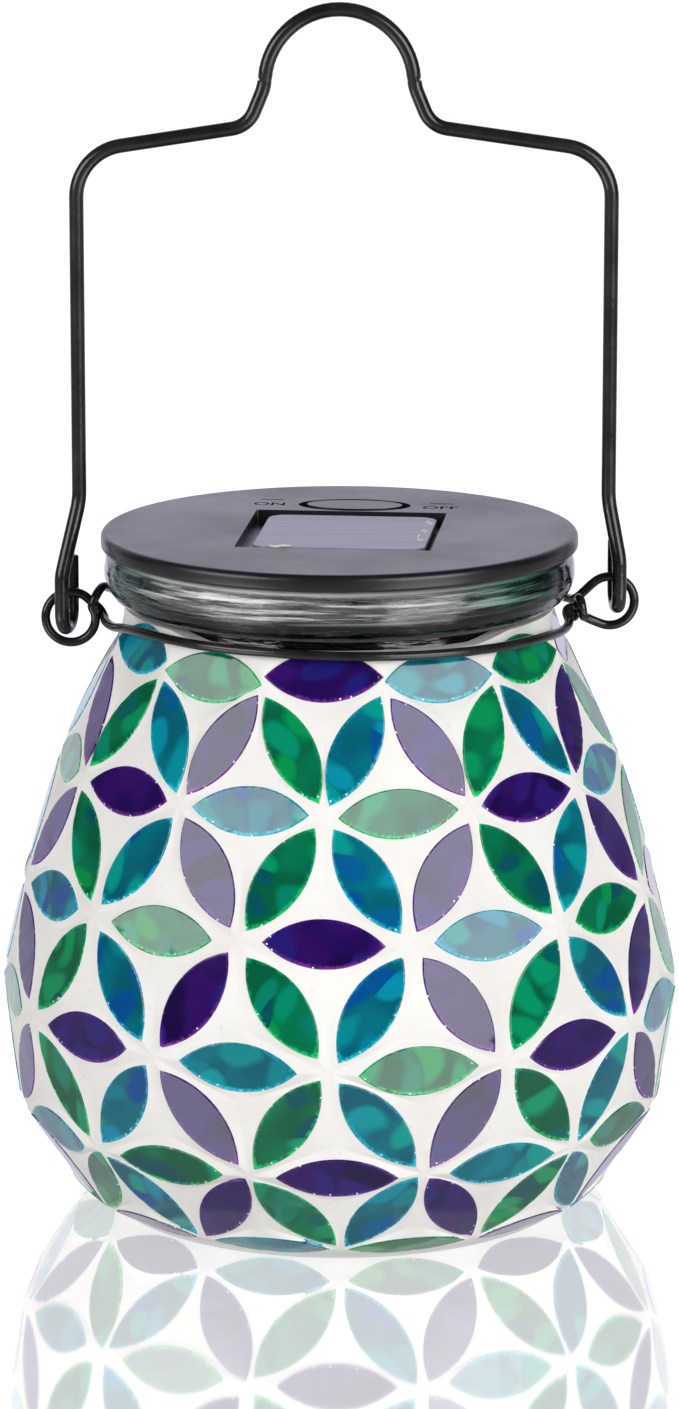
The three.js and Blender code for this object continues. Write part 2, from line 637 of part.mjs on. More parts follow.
addPiece('spring_contact', springContact(), steel, lidGroup);
addPiece('circuit_board', block(boardSize.width, boardSize.depth, boardSize.bottom,
  boardSize.bottom + boardSize.thickness, boardSize.x, boardSize.y),
{ color: 0x2f6b3a, roughness: 0.5, metalness: 0 }, lidGroup);
addPiece('led', revolve([[0, 108], [1.2, 108.3], [2.1, 109.2], [2.5, 110.5], [2.5, 115.2],
  [2.9, 115.2], [2.9, boardSize.bottom - gap], [0, boardSize.bottom - gap]], 12)
  .translate(ledSpot.x, ledSpot.y, 0), { color: 0xf6edc8, roughness: 0.15, metalness: 0 }, lidGroup);
addPiece('led_reflector', revolve([[3.2, 112], [5.3, 108.4], [5.9, 108.4], [5.9, 109.6],
  [3.8, 113.4], [3.2, 113.4]], 14).translate(ledSpot.x, ledSpot.y, 0), whitePlastic, lidGroup);
addPiece('diffuser_dome', revolve([[0, 101], [2.8, 101.4], [5.4, 102.7], [7.1, 106.4], [8.2, 106.7],
  [8.2, 107.7], [6.1, 107.7], [6.1, 106.9], [4.7, 103.7], [2.4, 102.4], [0, 102]], 20)
  .translate(ledSpot.x, ledSpot.y, 0), whitePlastic, lidGroup);

const cellLeads = [['cell_lead_positive', -9.1, 0xa02622], ['cell_lead_negative', -6.9, 0x222222]];
const leadBottom = boardSize.bottom + boardSize.thickness + gap;
for (const [name, x, color] of cellLeads) {
  addPiece(name, post(0.6, leadBottom, recess.floor, x, ledSpot.y, 8),
    { color, roughness: 0.5, metalness: 0 }, lidGroup);
}

export default lantern;
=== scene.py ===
import math

import bmesh
import bpy
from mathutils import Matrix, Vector


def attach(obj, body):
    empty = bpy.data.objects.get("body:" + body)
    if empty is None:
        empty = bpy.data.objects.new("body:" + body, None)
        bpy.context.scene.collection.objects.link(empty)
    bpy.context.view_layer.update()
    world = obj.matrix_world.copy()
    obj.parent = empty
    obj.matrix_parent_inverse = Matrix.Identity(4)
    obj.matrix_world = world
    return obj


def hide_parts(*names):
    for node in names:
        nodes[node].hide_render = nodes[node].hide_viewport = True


# The lantern stands on its foot at the origin, its front towards -Y. Sizes are in millimetres
# and turn to metres where a mesh is made. Azimuths are in degrees from the front, towards +X.

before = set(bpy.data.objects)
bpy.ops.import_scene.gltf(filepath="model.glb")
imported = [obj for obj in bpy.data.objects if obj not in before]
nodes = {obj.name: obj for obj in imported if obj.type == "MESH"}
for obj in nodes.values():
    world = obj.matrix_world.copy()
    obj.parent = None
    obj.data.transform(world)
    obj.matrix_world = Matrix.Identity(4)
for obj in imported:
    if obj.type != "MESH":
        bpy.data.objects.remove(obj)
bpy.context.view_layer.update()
scene = bpy.context.scene
scene.view_settings.view_transform = "Standard"


# Studio: a white seamless table under two softboxes, one to each side of the camera. The table
# is glossy acrylic, so the jar stands on a faint mirror image of itself.

def srgb(code):
    """A hex colour such as '#f1ede7' as linear light."""
    parts = [int(code[i:i + 2], 16) / 255 for i in (1, 3, 5)]
    return (*[c / 12.92 if c <= 0.04045 else ((c + 0.055) / 1.055) ** 2.4 for c in parts], 1)


def add_node(material, kind, inputs=None, stops=(), **settings):
    """Adds a node. An input takes a value, a hex colour, an output, a node for its first output,
    or a new node as (kind, inputs, stops). A ramp's `stops` pair positions with hex colours or
    greys."""
    node = material.node_tree.nodes.new("ShaderNode" + kind)
    for name, value in settings.items():
        setattr(node, name, value)
    for socket, value in (inputs or {}).items():
        if isinstance(value, tuple) and isinstance(value[0], str):
            value = add_node(material, *value)
        if isinstance(value, bpy.types.Node):
            value = next(output for output in value.outputs if output.enabled)
        if isinstance(value, bpy.types.NodeSocket):
            material.node_tree.links.new(value, node.inputs[socket])
        else:
            node.inputs[socket].default_value = srgb(value) if isinstance(value, str) else value
    if stops:
        elements = node.color_ramp.elements
        while len(elements) < len(stops):
            elements.new(0.5)
        for element, (position, tone) in zip(elements, stops):
            element.position = position
            element.color = srgb(tone) if isinstance(tone, str) else (tone, tone, tone, 1)
    return node


def new_material(name):
    material = bpy.data.materials.new(name)
    material.use_nodes = True
    material.node_tree.nodes.clear()
    return material


# 12.8 degrees down from 1.08 m, as in the photograph
camera = bpy.data.objects.new("camera", bpy.data.cameras.new("camera"))
camera.data.lens = 144.95
camera.data.clip_start = 0.01
camera.location = (0, -1.0763, 0.3416)
camera.rotation_euler = (math.radians(77.22), 0, 0)
scene.collection.objects.link(camera)
scene.camera = camera


def softbox(name, azimuth, elevation, width, height, radiance):
    """A rectangular lamp 1.2 m from the jar's middle; its power follows from its brightness."""
    distance, middle = 1.2, Vector((0, 0, 0.07))
    a, e = math.radians(azimuth), math.radians(elevation)
    away = Vector((math.sin(a) * math.cos(e), -math.cos(a) * math.cos(e), math.sin(e)))
    lamp = bpy.data.lights.new(name, "AREA")
    lamp.shape = "RECTANGLE"
    lamp.size, lamp.size_y = width, height
    lamp.energy = radiance * math.pi * width * height
    holder = bpy.data.objects.new(name, lamp)
    holder.location = middle + away * distance
    holder.rotation_euler = away.to_track_quat("Z", "Y").to_euler()
    scene.collection.objects.link(holder)


softbox("softbox_right", azimuth=42, elevation=19, width=0.78, height=0.74, radiance=5.2)
softbox("softbox_left", azimuth=-54, elevation=21, width=0.74, height=0.60, radiance=5.0)

# The camera sees white all round. What the lantern mirrors or lets through is dim behind the
# camera and white behind the lantern, with the lavender cast of the photograph's dark plastics
world = bpy.data.worlds.new("studio")
world.use_nodes = True
world.node_tree.nodes.clear()
scene.world = world
rays = add_node(world, "LightPath").outputs
direction = add_node(world, "SeparateXYZ", {
    "Vector": add_node(world, "TexCoord").outputs["Generated"]})
backdrop = add_node(world, "MapRange", {
    "Value": direction.outputs["Y"], "From Min": 0.55, "From Max": 0.85, "To Min": 0.06,
    "To Max": 1.1})
mirrored = add_node(world, "Math", {
    0: rays["Is Glossy Ray"], 1: rays["Is Transmission Ray"]}, operation="MAXIMUM")
fill_light = add_node(world, "Mix", {"Factor": mirrored, "A": 0.33, "B": backdrop})
strength = add_node(world, "Mix", {"Factor": rays["Is Camera Ray"], "A": fill_light, "B": 1.0})
cast = add_node(world, "Mix", {
    "A": "#ffffff", "B": "#efe9ff", "Factor": mirrored}, data_type="RGBA")
add_node(world, "OutputWorld", {
    "Surface": ("Background", {"Color": cast, "Strength": strength})})


def mesh_piece(name, points, faces, material, smooth=40):
    """A mesh object from points in millimetres; edges sharper than `smooth` degrees stay crisp."""
    mesh = bpy.data.meshes.new(name)
    mesh.from_pydata([tuple(c / 1000 for c in p) for p in points], [], faces)
    mesh.materials.append(material)
    mesh.shade_smooth()
    mesh.set_sharp_from_angle(angle=math.radians(smooth))
    mesh.update()
    piece = bpy.data.objects.new(name, mesh)
    scene.collection.objects.link(piece)
    return piece


# White acrylic, cast and polished: it mirrors the lantern softly. To the camera it glows as
# white as the backdrop, and it throws a weaker light back at the lantern
acrylic = new_material("white_acrylic_table")
acrylic_glow = add_node(acrylic, "MapRange", {
    "Value": add_node(acrylic, "LightPath").outputs["Is Camera Ray"], "To Min": 0.62,
    "To Max": 1.0})
acrylic_body = add_node(acrylic, "BsdfPrincipled", {
    "Base Color": "#606060", "Roughness": 0.06, "IOR": 2.5, "Coat Weight": 1.0, "Coat IOR": 2.5,
    "Coat Roughness": 0.05, "Emission Color": "#ffffff", "Emission Strength": acrylic_glow})
acrylic_face = add_node(acrylic, "BsdfGlossy", {"Color": "#ffffff", "Roughness": 0.05})
add_node(acrylic, "OutputMaterial", {"Surface": ("MixShader", {
    0: 0.25, 1: acrylic_body, 2: acrylic_face})})
reach = 2500
table = mesh_piece("table", [(-reach, -reach, 0), (reach, -reach, 0), (reach, reach, 0),
                             (-reach, reach, 0)], [(0, 1, 2, 3)], acrylic)


# Jar: clear soda-lime glass, blown in a mould, with a foot, a belly and a thick rim bead that
# the lid sits on. Only the bead shows; the rest carries the tiles.

def walls(rings):
    """Faces between closed rings of point numbers, from each ring to the next."""
    return [tuple(dict.fromkeys(face)) for low, high in zip(rings, rings[1:])
            for face in zip(low, [*low[1:], low[0]], [*high[1:], high[0]], high)]


def lathe(name, profile, material, sides):
    """A turned piece from (radius, height) points that run anticlockwise round the section."""
    turns = [math.tau * s / sides for s in range(sides)]
    points, rings = [], []
    for radius, height in profile:
        if radius == 0:
            rings.append([len(points)] * sides)
            points.append((0, 0, height))
            continue
        rings.append(range(len(points), len(points) + sides))
        points += [(radius * math.cos(a), radius * math.sin(a), height) for a in turns]
    if profile[0][0] > 0:
        rings.append(rings[0])
    return mesh_piece(name, points, walls(rings), material)


def bend_points(before, corner, after, radius, steps):
    """Points round a bend of this radius at the corner between two straight runs."""
    into, away = (corner - before).normalized(), (after - corner).normalized()
    turn = into.angle(away)
    start = corner - into * radius * math.tan(turn / 2)
    side = (away - into * away.dot(into)).normalized()
    count = steps or max(3, math.ceil(math.degrees(turn) / 6))
    turns = [turn * k / count for k in range(count + 1)]
    return [start + into * radius * math.sin(a) + side * radius * (1 - math.cos(a)) for a in turns]


def rounded(corners):
    """Rounds the corners of a section: each corner is (radius, height, rounding)."""
    out = []
    for i, (r, z, bend) in enumerate(corners):
        near = [Vector(corners[k % len(corners)][:2]) for k in (i - 1, i, i + 1)]
        out += [tuple(p) for p in bend_points(*near, bend, 5)] if bend else [(r, z)]
    return out


RING_RADII = [51.2, 63.0, 66.0, 61.8, 54.3, 44.6]
RING_HEIGHTS = [3.1, 21.3, 42.7, 65.4, 88.6, 110.4]
FOOT_EDGE, NECK_EDGE = (45.3, 0.4), (41.7, 118.0)


def smooth_line(knots, steps):
    """A centripetal spline through the knots, with `steps` pieces from each to the next."""
    knots = [Vector(p) for p in knots]
    knots = [knots[0] * 2 - knots[1], *knots, knots[-1] * 2 - knots[-2]]
    line = []
    for p0, p1, p2, p3 in zip(knots, knots[1:], knots[2:], knots[3:]):
        d0, d1, d2 = ((q - p).length ** 0.5 for p, q in ((p0, p1), (p1, p2), (p2, p3)))
        t1 = ((p1 - p0) / d0 - (p2 - p0) / (d0 + d1) + (p2 - p1) / d1) * d1
        t2 = ((p2 - p1) / d1 - (p3 - p1) / (d1 + d2) + (p3 - p2) / d2) * d1
        for w in (k / steps for k in range(steps)):
            line.append(p1 + t1 * w + (3 * (p2 - p1) - 2 * t1 - t2) * w ** 2
                        + (2 * (p1 - p2) + t1 + t2) * w ** 3)
    return [*line, knots[-2]]


# Outline of the tile faces from the foot to the neck, as (height, radius)
SURFACE = [(z, r) for r, z in
           smooth_line((FOOT_EDGE, *zip(RING_RADII, RING_HEIGHTS), NECK_EDGE), 20)]


def read_line(knots, x):
    """The height above x of straight lines through the knots."""
    for (x0, y0), (x1, y1) in zip(knots, knots[1:]):
        if x <= x1:
            return y0 + (y1 - y0) * (x - x0) / (x1 - x0)
    return knots[-1][1]


def surface_radius(z):
    return read_line(SURFACE, z)


# Sections as (radius, height), and where corners are rounded also the rounding
FOOT = [(0, 1.4, 0), (34, 1.4, 0.8), (36, 0, 0.8), (41.5, 0, 1.2), (46.2, 3.4, 1.5)]
WALL, WALL_INSET = 3.0, 3.4
DRAWN_IN, DRAWN_BELOW = 1.6, 8
NECK, NECK_INSIDE, FLOOR_EDGE = [(38.3, 116), (38.3, 118.2)], (35.3, 114), (36, 4.0)
BEAD_RADIUS, BEAD_BOTTOM, BEAD_TOP = 45.5, 118.4, 128.7
BEAD = [(40.4, BEAD_BOTTOM), (42.2, 118.9), (43.9, 120.1), (45.0, 121.8), (BEAD_RADIUS, 123.6),
        (BEAD_RADIUS, 125.4), (45.2, 127.0), (44.6, 128.1), (43.6, BEAD_TOP)]
MOUTH_RADIUS, MOUTH_BOTTOM, MOUTH_BEVEL = 38.0, 117.2, 0.9
outside = [(surface_radius(z) - WALL_INSET - (DRAWN_IN if z < DRAWN_BELOW else 0), z)
           for z in range(6, 111, 4)]
inside = [(r - WALL, z) for r, z in reversed(outside[1:])]
mouth = [(MOUTH_RADIUS + MOUTH_BEVEL, BEAD_TOP), (MOUTH_RADIUS, BEAD_TOP - MOUTH_BEVEL),
         (MOUTH_RADIUS, MOUTH_BOTTOM)]
jar_section = [*rounded(FOOT), *outside, *NECK, *BEAD, *mouth, NECK_INSIDE, *inside, FLOOR_EDGE,
               (0, FLOOR_EDGE[1])]

# Soda-lime glass, blown: clear with a faint grey-green cast. The mould left slow waves in it and
# level streaks under a millimetre apart that catch the light. Its colour is painted darker at the
# waist as painted shade, and painted green towards both sides and nearly black at the right edge
# as painted reflections of the tiles seen through it. Pattern scales count cells in a metre
jar_glass = new_material("clear_soda_lime_glass")
glass_place = add_node(jar_glass, "TexCoord").outputs["Object"]
glass_axes = add_node(jar_glass, "SeparateXYZ", {"Vector": glass_place}).outputs
glass_waves = add_node(jar_glass, "TexNoise", {
    "Vector": ("Mapping", {"Vector": glass_place, "Scale": (110, 110, 900)}),
    "Scale": 1.0, "Detail": 3.0})
glass_streaks = add_node(jar_glass, "TexNoise", {
    "Vector": ("Mapping", {"Vector": glass_place, "Scale": (45, 45, 1300)}),
    "Scale": 1.0, "Detail": 4.0, "Roughness": 0.6})
bead_height = add_node(jar_glass, "MapRange", {
    "Value": glass_axes["Z"], "From Min": BEAD_BOTTOM / 1000, "From Max": BEAD_TOP / 1000})
bead_side = add_node(jar_glass, "MapRange", {
    "Value": glass_axes["X"], "From Min": -BEAD_RADIUS / 1000, "From Max": BEAD_RADIUS / 1000})
glass_haze = add_node(jar_glass, "Math", {
    0: ("ValToRGB", {"Fac": glass_streaks}, ((0.49, 0), (0.63, 0.85))),
    1: ("ValToRGB", {"Fac": bead_height}, ((0.32, 0.06), (0.5, 1), (0.9, 0.6)))},
    operation="MULTIPLY")
# Painted highlight: a band under the lid is made dull so that it shows as a light line
streak_haze_and_painted_lip_line = add_node(jar_glass, "Math", {
    0: glass_haze, 1: ("ValToRGB", {"Fac": bead_height}, ((0.92, 0), (0.96, 0.8)))},
    operation="MAXIMUM")
glass_clear = add_node(jar_glass, "Math", {0: 1.0, 1: streak_haze_and_painted_lip_line}, operation="SUBTRACT")
# Painted light: the side ramp paints the tiles' colours seen through the glass, and the height
# ramp paints shade at the waist
glass_tint_and_painted_light = add_node(jar_glass, "Mix", {
    "Factor": 1.0,
    "A": ("ValToRGB", {"Fac": bead_side}, (
        (0.0, "#a0b2b0"), (0.04, "#56857c"), (0.14, "#fafcfb"), (0.3, "#ffffff"),
        (0.5, "#e8eaec"), (0.74, "#b8bebc"), (0.88, "#5a9683"), (0.96, "#0c2826"))),
    "B": ("ValToRGB", {"Fac": bead_height}, ((0.36, "#2a2e2e"), (0.56, "#ffffff")))},
    data_type="RGBA", blend_type="MULTIPLY")
add_node(jar_glass, "OutputMaterial", {"Surface": ("BsdfPrincipled", {
    "Base Color": glass_tint_and_painted_light, "Roughness": 0.1, "IOR": 1.52,
    "Transmission Weight": glass_clear,
    "Normal": ("Bump", {"Height": glass_waves, "Strength": 0.8, "Distance": 0.0004})})})
jar = lathe("jar", jar_section, jar_glass, sides=160)
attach(jar, "jar")
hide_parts("glass_jar")


# Mosaic: stained-glass petals cut from sheet, glued along every edge of a triangular net round
# the jar. Each is flat, with ground edges, and stands a little proud of the grout.

NODES_PER_RING, FIRST_NODE = 12, -3
STEP = 360 / (2 * NODES_PER_RING)
TILE_LENGTH, LONGEST_SHARE = 23.0, 0.98
# Level and slanting rows by turns, from the foot to the neck
TILE_WIDTHS = [8.9, 9.0, 8.9, 9.1, 9.4, 9.4, 9.4, 9.4, 9.4, 8.9, 9.7]
# The most that a petal is turned, in degrees, and slipped sideways, as laid by hand
HAND_TILT, HAND_SLIP = 2.2, 0.25
EDGE_STEPS = 22
# How far each ring's nodes lie sideways of and above their regular places: [mean, more at the
# front, more at the right]
NET_DRIFT = [([1.4, 1.3, -0.4], [0, 0, 0]), ([1.1, 1.8, 1.1], [-0.4, -0.1, 0.9]),
             ([-0.6, 2.0, 0.2], [0.6, -1.1, -0.3]), ([-2.0, 2.4, 0.8], [0.4, -0.4, -0.5]),
             ([-1.9, 1.9, 0.4], [0.6, -0.8, -0.1]), ([-0.2, -0.6, -0.3], [0.6, 0, 0])]
# How far each petal of the top row lies above its nodes' line
TOP_ROW_LIFT = [0.3, 0.9, 0.4, 0.9, 0.1, 1.2, 0.4, 0.8, 0.2, 2.0, 0, 1.4]


def net_node(ring, step):
    """A node's azimuth and height; a step is half the distance between two nodes."""
    azimuth = FIRST_NODE + STEP * step
    a = math.radians(azimuth)
    sideways, above = (mean + front * math.cos(a) + right * math.sin(a)
                       for mean, front, right in NET_DRIFT[ring])
    return azimuth + math.degrees(sideways / RING_RADII[ring]), RING_HEIGHTS[ring] + above


def chance(*key):
    """A small repeatable number for each tile: how it was laid, and its cut from the sheet."""
    value = math.sin(sum(k * w for k, w in zip(key, (12.9898, 78.233, 37.719)))) * 43758.5453
    return value - math.floor(value)


def on_surface(azimuth, z, inset=0):
    a, r = math.radians(azimuth), surface_radius(z) - inset
    return Vector((r * math.sin(a), -r * math.cos(a), z))


def surface_normal(azimuth, z, reach):
    low, high = max(z - reach, FOOT_EDGE[1]), min(z + reach, NECK_EDGE[1])
    slope = (surface_radius(high) - surface_radius(low)) / (high - low)
    a = math.radians(azimuth)
    return Vector((math.sin(a), -math.cos(a), -slope)).normalized()


class Petal:
    """One tile between two net nodes; a node is (ring, step)."""

    def __init__(self, start_node, end_node):
        start, end = net_node(*start_node), net_node(*end_node)
        (start_turn, start_z), (end_turn, end_z) = start, end
        turn, z = (start_turn + end_turn) / 2, (start_z + end_z) / 2
        row = start_node[0] + end_node[0]
        self.bulge = TILE_WIDTHS[row] / 2
        span = (on_surface(*start) - on_surface(*end)).length
        share = min(LONGEST_SHARE, TILE_LENGTH / span) / 2
        first, last = (
            on_surface(start_turn + (end_turn - start_turn) * t, start_z + (end_z - start_z) * t)
            for t in (0.5 - share, 0.5 + share))
        self.middle = (first + last) / 2
        self.half = (last - first).length / 2
        line = (last - first).normalized()
        rough = surface_normal(turn, z, self.bulge * 0.8)
        self.normal = (rough - line * rough.dot(line)).normalized()
        steps = start_node[1] + end_node[1]
        self.number = steps % (4 * NODES_PER_RING) + 4 * NODES_PER_RING * row
        lift = TOP_ROW_LIFT[(start_node[1] - 1) // 2 % NODES_PER_RING] if row == 10 else 0
        slip = HAND_SLIP * (2 * chance(self.number, 2) - 1)
        self.middle += self.normal.cross(line) * (lift + slip)
        tilt = math.radians(HAND_TILT) * (2 * chance(self.number, 1) - 1)
        self.along = line * math.cos(tilt) + self.normal.cross(line) * math.sin(tilt)
        self.across = self.normal.cross(self.along)
        self.turn, self.level = FIRST_NODE + STEP * steps / 2, row % 2 == 0
        self.arc_radius = (self.half ** 2 + self.bulge ** 2) / (2 * self.bulge)

    def point(self, u, v, depth):
        return self.middle + self.along * u + self.across * v - self.normal * depth

    def side(self, sign, inset=0):
        """Points (u, v) along one curved edge, tip to tip, moved in by `inset`."""
        radius = self.arc_radius - inset
        rise = self.arc_radius - self.bulge
        sweep = math.acos(min(1, rise / radius))
        turns = [sweep * (2 * i / EDGE_STEPS - 1) for i in range(EDGE_STEPS + 1)]
        return [(radius * math.sin(a), sign * (radius * math.cos(a) - rise)) for a in turns]


# Every node as (ring, number in its ring, step)
NET = [(ring, i, 2 * i + ring % 2) for ring in range(len(RING_HEIGHTS))
       for i in range(NODES_PER_RING)]
petals = {}
for ring, i, step in NET:
    petals[ring, i, "level"] = Petal((ring, step), (ring, step + 2))
    if ring + 1 < len(RING_HEIGHTS):
        petals[ring, i, "right"] = Petal((ring, step), (ring + 1, step + 1))
        petals[ring, i, "left"] = Petal((ring, step + 2), (ring + 1, step + 1))


def petal_color(petal, ring):
    """The colours repeat every quarter turn on level rows and every eighth turn between them."""
    if petal.level:
        order, first, step = ("violet", "teal", "green"), (-3 if ring % 2 else -18), 30
        if ring % 2 == 0:
            order = ("teal", "green", "violet")
        return order[round((petal.turn - first) / step) % 3]
    return ("violet", "green", "teal")[round((petal.turn + 25.5) / 15) % 3]


# Rings round a petal as (inset, depth), from the buried foot over the ground edge to the face
GROUND_EDGE = ((0.0, 1.6), (0.0, 0.2), (0.08, 0.06), (0.2, 0.0), (0.26, 0.0), (1.1, 0.0))
CHIP_CHANCE, CHIP_SIZE, WAVES_ROUND, WAVE_SHARE = 0.28, 0.42, 2.3, 0.012
LEAN_ALONG, LEAN_ACROSS = 0.010, 0.02
tile_parts = {color: ([], [], []) for color in ("violet", "green", "teal")}
for (ring, i, kind), petal in petals.items():
    points, faces, marks = tile_parts[petal_color(petal, ring)]
    rows, number = [], petal.number
    tilt_u = (chance(number, 3) - 0.5) * LEAN_ALONG
    tilt_v = (chance(number, 4) - 0.5) * LEAN_ACROSS
    for inset, depth in GROUND_EDGE:
        loop = petal.side(1, inset)[:-1] + petal.side(-1, inset)[::-1][:-1]
        row = []
        for k, (u, v) in enumerate(loop):
            chip = (max(0, chance(number, k + 9) - 1 + CHIP_CHANCE) * CHIP_SIZE
                    if 0 < inset < 0.5 else 0)
            shrink = 1 - chip / petal.bulge
            wobble = 1 + WAVE_SHARE * math.sin(WAVES_ROUND * k / len(loop) * math.tau + number)
            u, v = u * (shrink if inset else 1), v * shrink * wobble
            row.append(len(points))
            points.append(petal.point(u, v, depth + chip * 0.6 - tilt_u * u - tilt_v * v))
            # Painted glow: light leaving the glass along its ground edge is painted into its
            # colour, most at the lower side and the tips
            outward = petal.along * (0.6 * u / petal.half) + petal.across * (v / petal.bulge)
            lower = 0.35 + 0.65 * max(0, -outward.z)
            tip = max(0, abs(u) / petal.half - 0.7) / 0.3
            marks.append((u, v, number, lower * (max(0, 1 - inset / 0.9) + 0.6 * tip * tip)))
        rows.append(row)
    faces += walls(rows[::-1])
    top = rows[-1]
    faces.append((top[0], top[-1], top[1]))
    faces += [tuple(dict.fromkeys((top[k], top[-k], top[-k - 1], top[k + 1])))
              for k in range(1, EDGE_STEPS)]


def stained_glass(name, ground, patches, edge):
    """Rolled sheet glass, drawn opaque: the light from behind is painted as petal-shaped patches
    on a darker ground, and a painted glow lies along the ground edges and tips where light would
    leave the glass. Scales are in 1/mm."""
    material = new_material(name)
    place = add_node(material, "Attribute", attribute_name="sheet").outputs["Vector"]
    rim = add_node(material, "Attribute", attribute_name="rim").outputs["Fac"]
    # Clouds 9 mm wide in the ground, which also bend the patches' borders
    bend = add_node(material, "TexNoise", {"Vector": place, "Scale": 0.11, "Detail": 0.0})
    bent = add_node(material, "VectorMath", {
        0: bend.outputs["Color"], 1: (8, 8, 0), 2: place}, operation="MULTIPLY_ADD")
    # Painted patches of the light seen through the glass, about 6 by 10 mm
    cells = add_node(material, "TexVoronoi", {
        "Vector": ("Mapping", {"Vector": bent, "Scale": (0.16, 0.1, 1)}),
        "Scale": 1.0, "Randomness": 0.85}, voronoi_dimensions="2D")
    shade = add_node(material, "SeparateColor", {"Color": cells.outputs["Color"]})
    # Streaks drawn into the sheet as it was rolled, under a millimetre apart
    streaks = add_node(material, "TexNoise", {
        "Vector": ("Mapping", {"Vector": place, "Scale": (0.22, 1.5, 1)}),
        "Scale": 1.0, "Detail": 3.0})
    # The painted glow is broken up by chips in the ground edge, and the largest of them are white,
    # with painted glints where the glow is
    chips = add_node(material, "TexNoise", {
        "Vector": place, "Scale": 1.3, "Detail": 4.0, "Roughness": 0.65})
    painted_glow = add_node(material, "Math", {
        0: rim, 1: ("ValToRGB", {"Fac": chips}, ((0.38, 0.25), (0.6, 1)))},
        operation="MULTIPLY")
    flecks = add_node(material, "TexVoronoi", {
        "Vector": place, "Scale": 0.6}, voronoi_dimensions="2D")
    fleck_size = add_node(material, "Math", {
        0: ("SeparateColor", {"Color": flecks.outputs["Color"]}), 1: rim},
        operation="MULTIPLY")
    white_chips_and_painted_glints = add_node(material, "Math", {
        0: ("ValToRGB", {"Fac": flecks}, ((0.08, 1), (0.13, 0))),
        1: ("ValToRGB", {"Fac": fleck_size}, ((0.22, 0), (0.3, 1)))}, operation="MULTIPLY")
    painted_patch_stops = tuple(zip((0.15, 0.5, 0.85), patches))
    tone = ("ValToRGB", {"Fac": bend}, ((0.42, ground[0]), (0.6, ground[1])))
    # One over the other: painted patches of light, streaks, the painted glow of the edge and its
    # white chips with painted glints
    for mask, above in (
            (("ValToRGB", {"Fac": cells}, ((0.28, 1), (0.46, 0))),
             ("ValToRGB", {"Fac": shade}, painted_patch_stops)),
            (("ValToRGB", {"Fac": streaks}, ((0.55, 0), (0.8, 0.2))), patches[0]),
            (("ValToRGB", {"Fac": painted_glow}, ((0.12, 0), (0.55, 0.9))), edge),
            (white_chips_and_painted_glints, "#e6f2f0")):
        tone = add_node(material, "Mix", {"Factor": mask, "A": tone, "B": above},
                        data_type="RGBA")
    waves = add_node(material, "TexNoise", {"Vector": place, "Scale": 0.25, "Detail": 0.0})
    add_node(material, "OutputMaterial", {"Surface": ("BsdfPrincipled", {
        "Base Color": tone, "Roughness": 0.08, "IOR": 1.52,
        "Normal": ("Bump", {"Height": waves, "Strength": 0.05, "Distance": 0.0002})})})
    return material


# Each sheet: two ground tones, three colours for its painted patches of light, and the colour of
# its painted edge glow
tile_glass = {
    "violet": stained_glass("violet_sheet_glass", ("#200650", "#2c0a5c"),
                            ("#1e186c", "#320e66", "#18043e"), "#7a2a9c"),
    "green": stained_glass("green_sheet_glass", ("#00583a", "#006c48"),
                           ("#008c46", "#008c66", "#004c54"), "#10d070"),
    "teal": stained_glass("teal_sheet_glass", ("#00586a", "#006878"),
                          ("#0084a0", "#009084", "#004a8c"), "#18c4dc"),
}

for color, (points, faces, marks) in tile_parts.items():
    tiles = mesh_piece(f"{color}_tiles", points, faces, tile_glass[color], smooth=30)
    sheet = []
    for u, v, number, _ in marks:
        turn = chance(number, 5) * math.tau
        sheet += [u * math.cos(turn) - v * math.sin(turn) + 60 * chance(number, 6),
                  u * math.sin(turn) + v * math.cos(turn) + 60 * chance(number, 7), 7.3 * number]
    tiles.data.attributes.new("sheet", "FLOAT_VECTOR", "POINT").data.foreach_set("vector", sheet)
    # The painted glow of each point, from its place on the tile's edge
    painted_rim_glow_values = [mark[3] for mark in marks]
    tiles.data.attributes.new("rim", "FLOAT", "POINT").data.foreach_set("value", painted_rim_glow_values)
    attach(tiles, "jar")
    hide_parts("mosaic_shell")


# Grout: white cement grout wiped level between the petals. It dries a little below the glass,
# rises to each tile's edge, and fills the six-way joints at the net's nodes.

GROUT_DEPTH, GROUT_CROWN, GROUT_ROWS = 0.2, 0.12, 5
grout_points, grout_faces, grout_index = [], [], {}


def grout_point(p):
    """One shared point for each place, so that neighbouring patches join up."""
    key = tuple(round(c, 3) for c in p)
    if key not in grout_index:
        grout_index[key] = len(grout_points)
        grout_points.append(p)
    return grout_index[key]


def joint_side(start, end, petal, sign):
    """A patch's side, node to node round one tile, sunk to the grout's level at its edge."""
    arc = [petal.point(u, v, GROUT_DEPTH) for u, v in petal.side(sign)][::sign]
    return [on_surface(*net_node(*start), GROUT_DEPTH), *arc,
            on_surface(*net_node(*end), GROUT_DEPTH)]


def grout_strip(side, inner):
    """Rows of grout from a patch's side to the line down its middle, dished between the two."""
    rows = [[a.lerp(b, k / GROUT_ROWS) for a, b in zip(side, inner)]
            for k in range(GROUT_ROWS + 1)]
    for low, high in zip(rows, rows[1:]):
        for corners in zip(low, low[1:], high[1:], high):
            face = tuple(dict.fromkeys(grout_point(p) for p in corners))
            if len(face) > 2:
                grout_faces.append(face)


